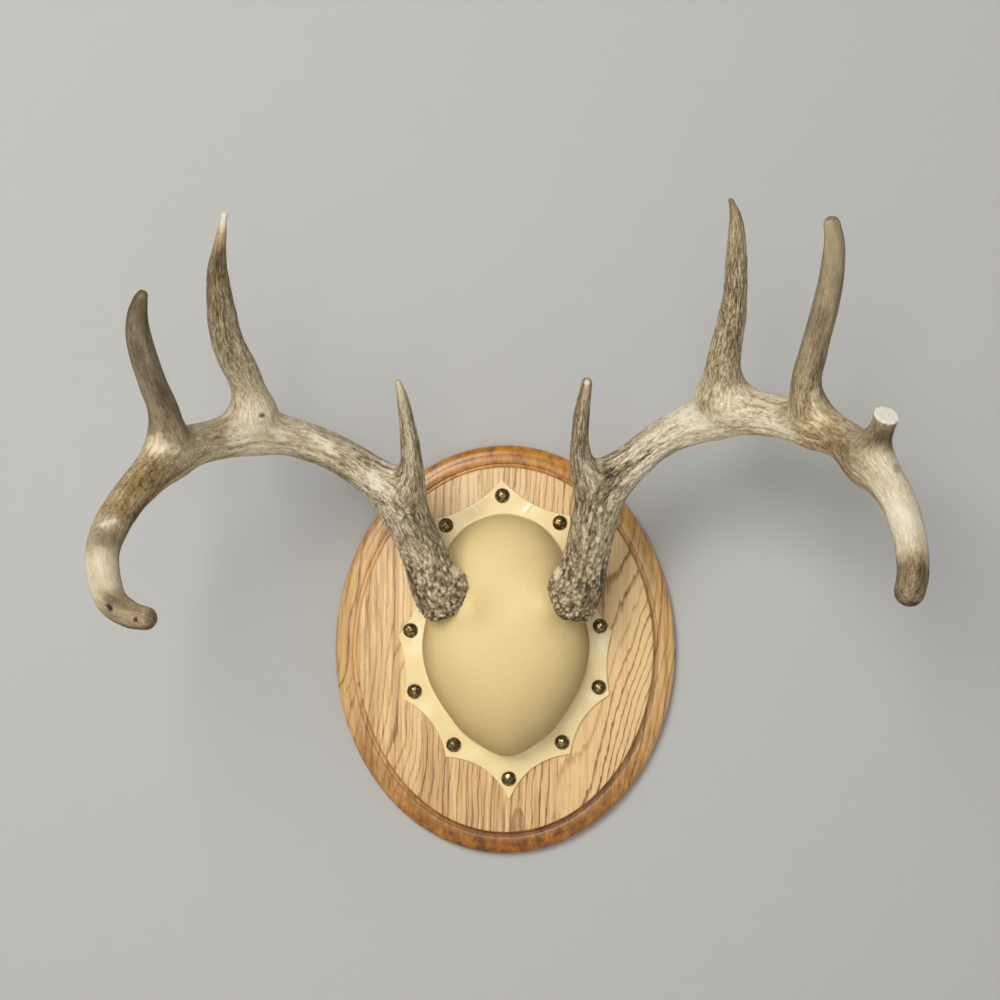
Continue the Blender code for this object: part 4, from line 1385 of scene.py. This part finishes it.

# %% [markdown]
# The vinyl has a fine pebbled grain on its dome, from the cells of a leather-like roller, and is
# pressed smoother and glossier where the skirt was held flat. The skirt is painted paler than the
# dome, as painted light against the dome's shadow on it. The dome is painted darker towards the
# fold at its foot, most of all at its sides and low down: painted shade.

# %% Grained vinyl
def vinyl_finish():
    material, tree, shader = new_finish("cream_vinyl_finish", Roughness=0.5)
    place = object_place(tree)
    apart = add_node(tree, "ShaderNodeSeparateXYZ", {0: place}).outputs
    out, up = product(tree, apart["Y"], -1.0), apart["Z"]
    on_dome = spread(tree, out, SKIRT_FACE + 0.8, SKIRT_FACE + 5.0)
    # Painted shade in the fold at the dome's foot, strongest at the sides and bottom.
    painted_fold_shade = product(tree, spread(tree, out, SKIRT_FACE + 1.2, SKIRT_FACE + 2.4),
                      spread(tree, out, SKIRT_FACE + 2.4, SKIRT_FACE + 36.0, 1.0, 0.0),
                      spread(tree, up, 78.0, 10.0, 0.35, 1.0))
    # Painted shade: the dome is darker low down.
    painted_low_shade = product(tree, on_dome, spread(tree, up, 20.0, -60.0, 0.0, 0.75))
    pebbles = add_node(tree, "ShaderNodeTexVoronoi", {"Vector": place, "Scale": 0.62},
                       feature="SMOOTH_F1").outputs["Distance"]
    wrinkles = noise_of(tree, place, 0.35, 4.0, 0.6, 0.6)
    shade = noise_of(tree, place, 0.012, 2.0)
    tone = total(tree, spread(tree, shade, 0.3, 0.7, 0.0, 0.6),
                 product(tree, maths(tree, "SUBTRACT", wrinkles, 0.5), 0.25))
    base = ramp(tree, tone, [(0.0, colour(235, 210, 149)), (1.0, colour(224, 197, 134))])
    # Layers: painted shade in the fold, painted shade low on the dome, the skirt painted paler as
    # painted light, and pale folds and patches.
    layers = [(product(tree, maths(tree, "POWER", painted_fold_shade, 1.15), 0.9), colour(138, 112, 62)),
              (painted_low_shade, colour(196, 170, 112)),
              # Painted light: the skirt is paler, against the dome's shadow on it.
              (spread(tree, on_dome, 0.0, 0.6, 0.5, 0.0), colour(246, 226, 170)),
              # Pale folds, partly whitened vinyl and partly painted highlight, and painted highlight
              # patches.
              (product(tree, attribute(tree, "pale_folds_and_painted_highlights"), 0.7), colour(255, 250, 232))]
    for share, layer in layers:
        base = mixed(tree, share, base, layer)
    tree.links.new(base, shader.inputs["Base Color"])
    tree.links.new(spread(tree, on_dome, 0, 1, 0.2, 0.62), shader.inputs["Roughness"])
    grain = product(tree, total(tree, product(tree, pebbles, 0.7), product(tree, wrinkles, 0.8)),
                    spread(tree, on_dome, 0, 1, 0.12, 1.0))
    tree.links.new(bumped(tree, grain, 0.5, 0.8), shader.inputs["Normal"])
    return material


VINYL = vinyl_finish()
print("nodes in the vinyl:", len(VINYL.node_tree.nodes))

# %% [markdown]
# The nails' brass has gone dark in patches, and it still shines between them. The hanger and the
# screws are plain zinc-plated steel. The sawn skull cap is bone, and the cover hides it.

# %% Brass, steel and bone
def brass_finish():
    material, tree, shader = new_finish("old_brass_finish", Metallic=1.0, Roughness=0.25)
    place = object_place(tree)
    patina = noise_of(tree, place, 0.5, 4.0, 0.6)
    base = ramp(tree, patina, [(0.35, colour(74, 62, 40)), (0.56, colour(136, 118, 80)),
                               (0.7, colour(214, 200, 164))])
    tree.links.new(base, shader.inputs["Base Color"])
    tree.links.new(spread(tree, patina, 0.3, 0.8, 0.34, 0.16), shader.inputs["Roughness"])
    return material


def steel_finish():
    material, tree, shader = new_finish("zinc_steel_finish", Metallic=1.0, Roughness=0.35)
    place = object_place(tree, (0.2, 1.0, 1.6))
    brushed = noise_of(tree, place, 1.4, 4.0, 0.6)
    base = ramp(tree, brushed, [(0.3, colour(150, 150, 146)), (0.75, colour(190, 190, 184))])
    tree.links.new(base, shader.inputs["Base Color"])
    tree.links.new(spread(tree, brushed, 0.3, 0.8, 0.28, 0.46), shader.inputs["Roughness"])
    tree.links.new(bumped(tree, brushed, 0.03, 0.4), shader.inputs["Normal"])
    return material


def bone_finish():
    """The sawn skull cap under the cover: pale, a little stained, with fine pores."""
    material, tree, shader = new_finish("skull_bone_finish", Roughness=0.6)
    place = object_place(tree)
    stain = noise_of(tree, place, 0.05, 4.0, 0.6)
    base = ramp(tree, stain, [(0.35, colour(226, 214, 186)), (0.7, colour(188, 168, 130))])
    pores = noise_of(tree, place, 1.2, 3.0, 0.7)
    base = mixed(tree, spread(tree, pores, 0.6, 0.75, 0.0, 0.5), base, colour(140, 120, 92))
    tree.links.new(base, shader.inputs["Base Color"])
    tree.links.new(bumped(tree, pores, 0.15, 0.5), shader.inputs["Normal"])
    return material


BRASS, STEEL, BONE = brass_finish(), steel_finish(), bone_finish()
print("finishes:", [material.name for material in (BRASS, STEEL, BONE)])

# %% [markdown]
# An antler's colour follows what was stored on its mesh. The tone of each branch is moved by
# noise stretched along it, hollows are stained and crests are rubbed pale.

# %% The antler's tone
GREY_BONE = [(0.0, colour(232, 223, 202)), (0.22, colour(206, 194, 168)),
             (0.45, colour(166, 152, 126)), (0.7, colour(112, 99, 78)),
             (0.9, colour(72, 61, 46)), (1.0, colour(44, 36, 27))]
GOLDEN_BONE = [(0.0, colour(234, 219, 186)), (0.22, colour(208, 187, 146)),
               (0.45, colour(172, 145, 98)), (0.7, colour(126, 99, 56)),
               (0.9, colour(82, 60, 35)), (1.0, colour(50, 36, 22))]
STORED = ("tine", "dark", "warm", "relief", "contour", "rough", "cut", "shelf", "pearl", "burr")


def along_the_branch(tree, flows, tine, stretch, scale, detail, roughness):
    """Noise drawn out along the beam, or along the tine where there is one."""
    found = [noise_of(tree, drawn_out(tree, flow, stretch), scale, detail, roughness, 0.2)
             for flow in flows]
    return blend_of(tree, tine, *found)


def pearl_cells(tree, place, flow, burr):
    """Beads of the foot and of the burr: how high each place is, and a shade for each bead."""
    grains, shades = [], []
    for where, scale in ((drawn_out(tree, flow, 0.55), 0.62), (place, 0.44)):
        cells = add_node(tree, "ShaderNodeTexVoronoi", {"Vector": where, "Scale": scale},
                         feature="SMOOTH_F1").outputs
        grains.append(spread(tree, cells["Distance"], 0.12, 0.62, -1.0, 1.0))
        shades.append(add_node(tree, "ShaderNodeSeparateColor", {0: cells["Color"]}).outputs[0])
    return blend_of(tree, burr, *grains), blend_of(tree, burr, *shades)


def antler_tone(tree, place, stored, noises, grain, each, speckle):
    """How dark every place is, from 0 for bleached bone to 1 for deep brown."""
    streaks, dashes, fine, patches = noises
    pearl, rough = stored["pearl"], stored["rough"]
    uneven = total(tree, product(tree, grain, 0.28), spread(tree, each, 0.1, 0.9, -0.22, 0.22))
    calm = maths(tree, "SUBTRACT", 1.0, product(tree, pearl, 0.5))
    lined = total(tree, spread(tree, streaks, 0.3, 0.7, -0.14, 0.14),
                  spread(tree, dashes, 0.3, 0.7, -0.3, 0.34),
                  spread(tree, fine, 0.3, 0.7, -0.13, 0.13))
    lined = product(tree, lined, spread(tree, rough, 0.05, 0.8, 0.25, 1.55))
    patchy = spread(tree, patches, 0.3, 0.7, -0.16, 0.16)
    dirt = product(tree, spread(tree, speckle, 0.52, 0.72, 0.0, 0.3), rough)
    specks = product(tree, spread(tree, noise_of(tree, place, 0.3, 2.0, 0.6), 0.5, 0.7),
                     spread(tree, stored["warm"], 0.52, 0.9, 0.0, 0.2))
    return total(tree, stored["dark"], product(tree, uneven, pearl), product(tree, calm, lined),
                 product(tree, calm, patchy), product(tree, stored["relief"], -0.3),
                 product(tree, stored["contour"], 0.2), product(tree, stored["shelf"], -0.08),
                 dirt, specks)


print("numbers read from the antlers:", STORED)

# %% [markdown]
# The tone picks a colour from a grey ramp and from a golden one, and "warm" mixes the two. The
# broken tine's cut face gets the pale open core instead. Two bumps add what is too fine for the
# mesh: grooves along the branch, and grit with pearls over them.

# %% The antler's finish
def antler_finish():
    material, tree, shader = new_finish("antler_finish", Roughness=0.5)
    flows = attribute(tree, "flow", "Vector"), attribute(tree, "tine_flow", "Vector")
    stored = {name: attribute(tree, name) for name in STORED}
    rough, pearl = stored["rough"], stored["pearl"]
    place = object_place(tree)
    noises = [along_the_branch(tree, flows, stored["tine"], *sizes) for sizes in (
        (0.11, 0.3, 3.0, 0.6), (0.26, 0.62, 4.0, 0.75), (0.3, 1.6, 3.0, 0.7), (0.4, 0.06, 4.0, 0.6))]
    speckle = noise_of(tree, place, 0.9, 4.0, 0.75)
    grain, each = pearl_cells(tree, place, flows[0], stored["burr"])
    tone = antler_tone(tree, place, stored, noises, grain, each, speckle)
    bone = mixed(tree, stored["warm"], ramp(tree, tone, GREY_BONE), ramp(tree, tone, GOLDEN_BONE))
    pores = add_node(tree, "ShaderNodeTexVoronoi", {"Vector": place, "Scale": 0.9},
                     feature="F1").outputs["Distance"]
    core = ramp(tree, pores, [(0.1, colour(188, 176, 150)), (0.35, colour(238, 232, 216))])
    tree.links.new(mixed(tree, stored["cut"], bone, core), shader.inputs["Base Color"])
    tree.links.new(spread(tree, stored["relief"], -0.6, 0.8, 0.72, 0.44),
                   shader.inputs["Roughness"])
    grooves = product(tree, total(tree, product(tree, noises[1], 0.9), product(tree, noises[2], 0.45)),
                      spread(tree, rough, 0, 0.8, 0.2, 1.0))
    grit = maths(tree, "SUBTRACT", product(tree, speckle, spread(tree, rough, 0.2, 1.0, 0.1, 1.0)),
                 product(tree, grain, pearl, 0.8))
    grooved = bumped(tree, grooves, 0.8, 0.8)
    tree.links.new(bumped(tree, grit, 0.6, 0.8, grooved), shader.inputs["Normal"])
    return material


ANTLER = antler_finish()
print("nodes in the antler's finish:", len(ANTLER.node_tree.nodes))

# %% [markdown]
# ## Put the finishes on
#
# Each fine piece takes the place of its CAD nodes and rides on the same body. The hanger and the
# screws keep their CAD shape and take the steel.

# %% Assign and replace
def finish_piece(made, material, nodes):
    made.data.materials.clear()
    made.data.materials.append(material)
    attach(made, "root")
    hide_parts(*nodes)


nails = mesh_from_tree("hammered_nails", nail_points, nail_tree(), {"Finish": BRASS})

for side, antler in ANTLERS.items():
    nodes = [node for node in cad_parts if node.startswith(side)]
    finish_piece(antler, ANTLER, nodes)
finish_piece(board, BOARD_OAK, ["backboard"])
finish_piece(block, BOARD_OAK, ["hanger_block"])
finish_piece(panel, PANEL_OAK, ["face_panel"])
finish_piece(cover, VINYL, ["skull_cover"])
finish_piece(nails, BRASS, [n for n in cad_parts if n.startswith("nail")])

bare_nodes = {node: STEEL for node in SCREW_NODES + ["hanger_plate"]}
bare_nodes["skull_plate"] = BONE
for node, material in bare_nodes.items():
    bpy.data.objects[node].data.materials.clear()
    bpy.data.objects[node].data.materials.append(material)
print("CAD nodes that stay:", sorted(bare_nodes))

# %% [markdown]
# ## Stage, light and camera
#
# The object hangs flat on a pale wall above a pale floor. The wall shows only from the front, and
# it has an oval hole that the board covers, so the back of the board can be looked at and lit too.

# %% Stage
WALL_SPAN = 4.0                 # metres, like the other sizes of the stage
FLOOR_DROP = 0.55
WALL_Y = 0.0015                 # how far the wall is behind the board's back
HOLE_EDGE = 8.0                 # millimetres of wall that the board hides, all round


def stage_finish(name, shade, one_sided):
    material, tree, shader = new_finish(name, Base_Color=shade, Roughness=0.9)
    if one_sided:
        clear = add_node(tree, "ShaderNodeBsdfTransparent").outputs[0]
        back = add_node(tree, "ShaderNodeNewGeometry").outputs["Backfacing"]
        both = add_node(tree, "ShaderNodeMixShader", {0: back, 1: shader.outputs[0], 2: clear})
        tree.links.new(both.outputs[0], tree.nodes["Material Output"].inputs["Surface"])
    return material


def stage_sheet(name, points, faces, material):
    made = mesh_object(name, np.array(points) / MM, faces)
    made.data.materials.append(material)
    return made


def around_a_hole(hole, sides, low, high):
    """Points on an oval hole, and on the oblong edge of the sheet around it."""
    corners = [math.atan2(up, across) for up in (low, high) for across in (-sides, sides)]
    turn = np.sort(np.append(np.linspace(-math.pi, math.pi, 96, endpoint=False), corners))
    way = np.column_stack([np.cos(turn), np.sin(turn)])
    edge = np.where(way[:, 1] > 0, high, low)
    reach = np.minimum(sides / np.maximum(np.abs(way[:, 0]), 1e-9),
                       np.abs(edge) / np.maximum(np.abs(way[:, 1]), 1e-9))
    return way * np.array(hole), way * reach[:, None]


HALF_SPAN = WALL_SPAN / 2
HOLE = [(size / 2 - HOLE_EDGE) * MM for size in BOARD_SIZE]
inner, outer = around_a_hole(HOLE, HALF_SPAN, -FLOOR_DROP, HALF_SPAN)
wall_points = [(across, WALL_Y, up) for across, up in np.vstack([inner, outer])]
steps = len(inner)
wall_faces = [(i, i + steps, (i + 1) % steps + steps, (i + 1) % steps) for i in range(steps)]
stage_sheet("pale_wall", wall_points, wall_faces,
            stage_finish("pale_wall_paint", colour(186, 185, 181), True))
stage_sheet("pale_floor",
            [(-HALF_SPAN, -WALL_SPAN, -FLOOR_DROP), (HALF_SPAN, -WALL_SPAN, -FLOOR_DROP),
             (HALF_SPAN, WALL_Y, -FLOOR_DROP), (-HALF_SPAN, WALL_Y, -FLOOR_DROP)], [(0, 1, 2, 3)],
            stage_finish("pale_floor_paint", colour(222, 222, 220), False))
print("the wall's hole, in mm:", [round(2 * half_size / MM) for half_size in HOLE])

# %% [markdown]
# One large soft light stands up and to the left of the camera, and a second near it fills in from
# the front. A third stands behind the wall for the board's back. Their places and sizes are in
# metres. The sky gives an even pale light, and the Standard view adds no contrast of its own.

# %% Light
def soft_light(name, place, target, size, power, shade=(1, 1, 1)):
    data = bpy.data.lights.new(name, "AREA")
    data.shape = "RECTANGLE"
    data.size, data.size_y = size
    data.energy = power
    data.color = shade
    made = bpy.data.objects.new(name, data)
    made.location = place
    made.rotation_euler = (Vector(target) - Vector(place)).to_track_quat("-Z", "Y").to_euler()
    bpy.context.scene.collection.objects.link(made)


soft_light("key_light", (-0.8, -2.35, 1.0), (0, 0, 0.05), (1.1, 1.0), 42, (1.0, 0.985, 0.96))
soft_light("front_light", (-0.2, -2.6, 0.3), (0, 0, 0.05), (0.9, 0.9), 11, (1.0, 0.985, 0.96))
soft_light("back_light", (0.6, 2.2, 0.9), (0, 0, 0), (1.2, 1.2), 30)
world = bpy.data.worlds.new("pale_sky")
world.use_nodes = True
world.node_tree.nodes["Background"].inputs["Color"].default_value = (0.9, 0.93, 1.0, 1.0)
world.node_tree.nodes["Background"].inputs["Strength"].default_value = 0.25
bpy.context.scene.world = world
bpy.context.scene.view_settings.view_transform = "Standard"
print("lights:", [made.name for made in bpy.data.lights])

# %% [markdown]
# The camera looks straight at the wall from 1.5 metres, level with the upper part of the board.

# %% Camera
CAMERA_PLACE = (-0.0041, -1.5, 0.1117)      # metres
CAMERA_ANGLE = 28.06            # degrees, across the square frame
camera_data = bpy.data.cameras.new("camera")
camera_data.sensor_width = 36
camera_data.lens = 18 / math.tan(math.radians(CAMERA_ANGLE / 2))
camera = bpy.data.objects.new("camera", camera_data)
camera.location = CAMERA_PLACE
camera.rotation_euler = (math.pi / 2, 0, 0)
bpy.context.scene.collection.objects.link(camera)
bpy.context.scene.camera = camera
print("lens in mm:", round(camera_data.lens, 2))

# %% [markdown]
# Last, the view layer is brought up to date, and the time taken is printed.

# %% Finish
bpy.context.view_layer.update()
print("made in", round(time.time() - STARTED, 1), "s")
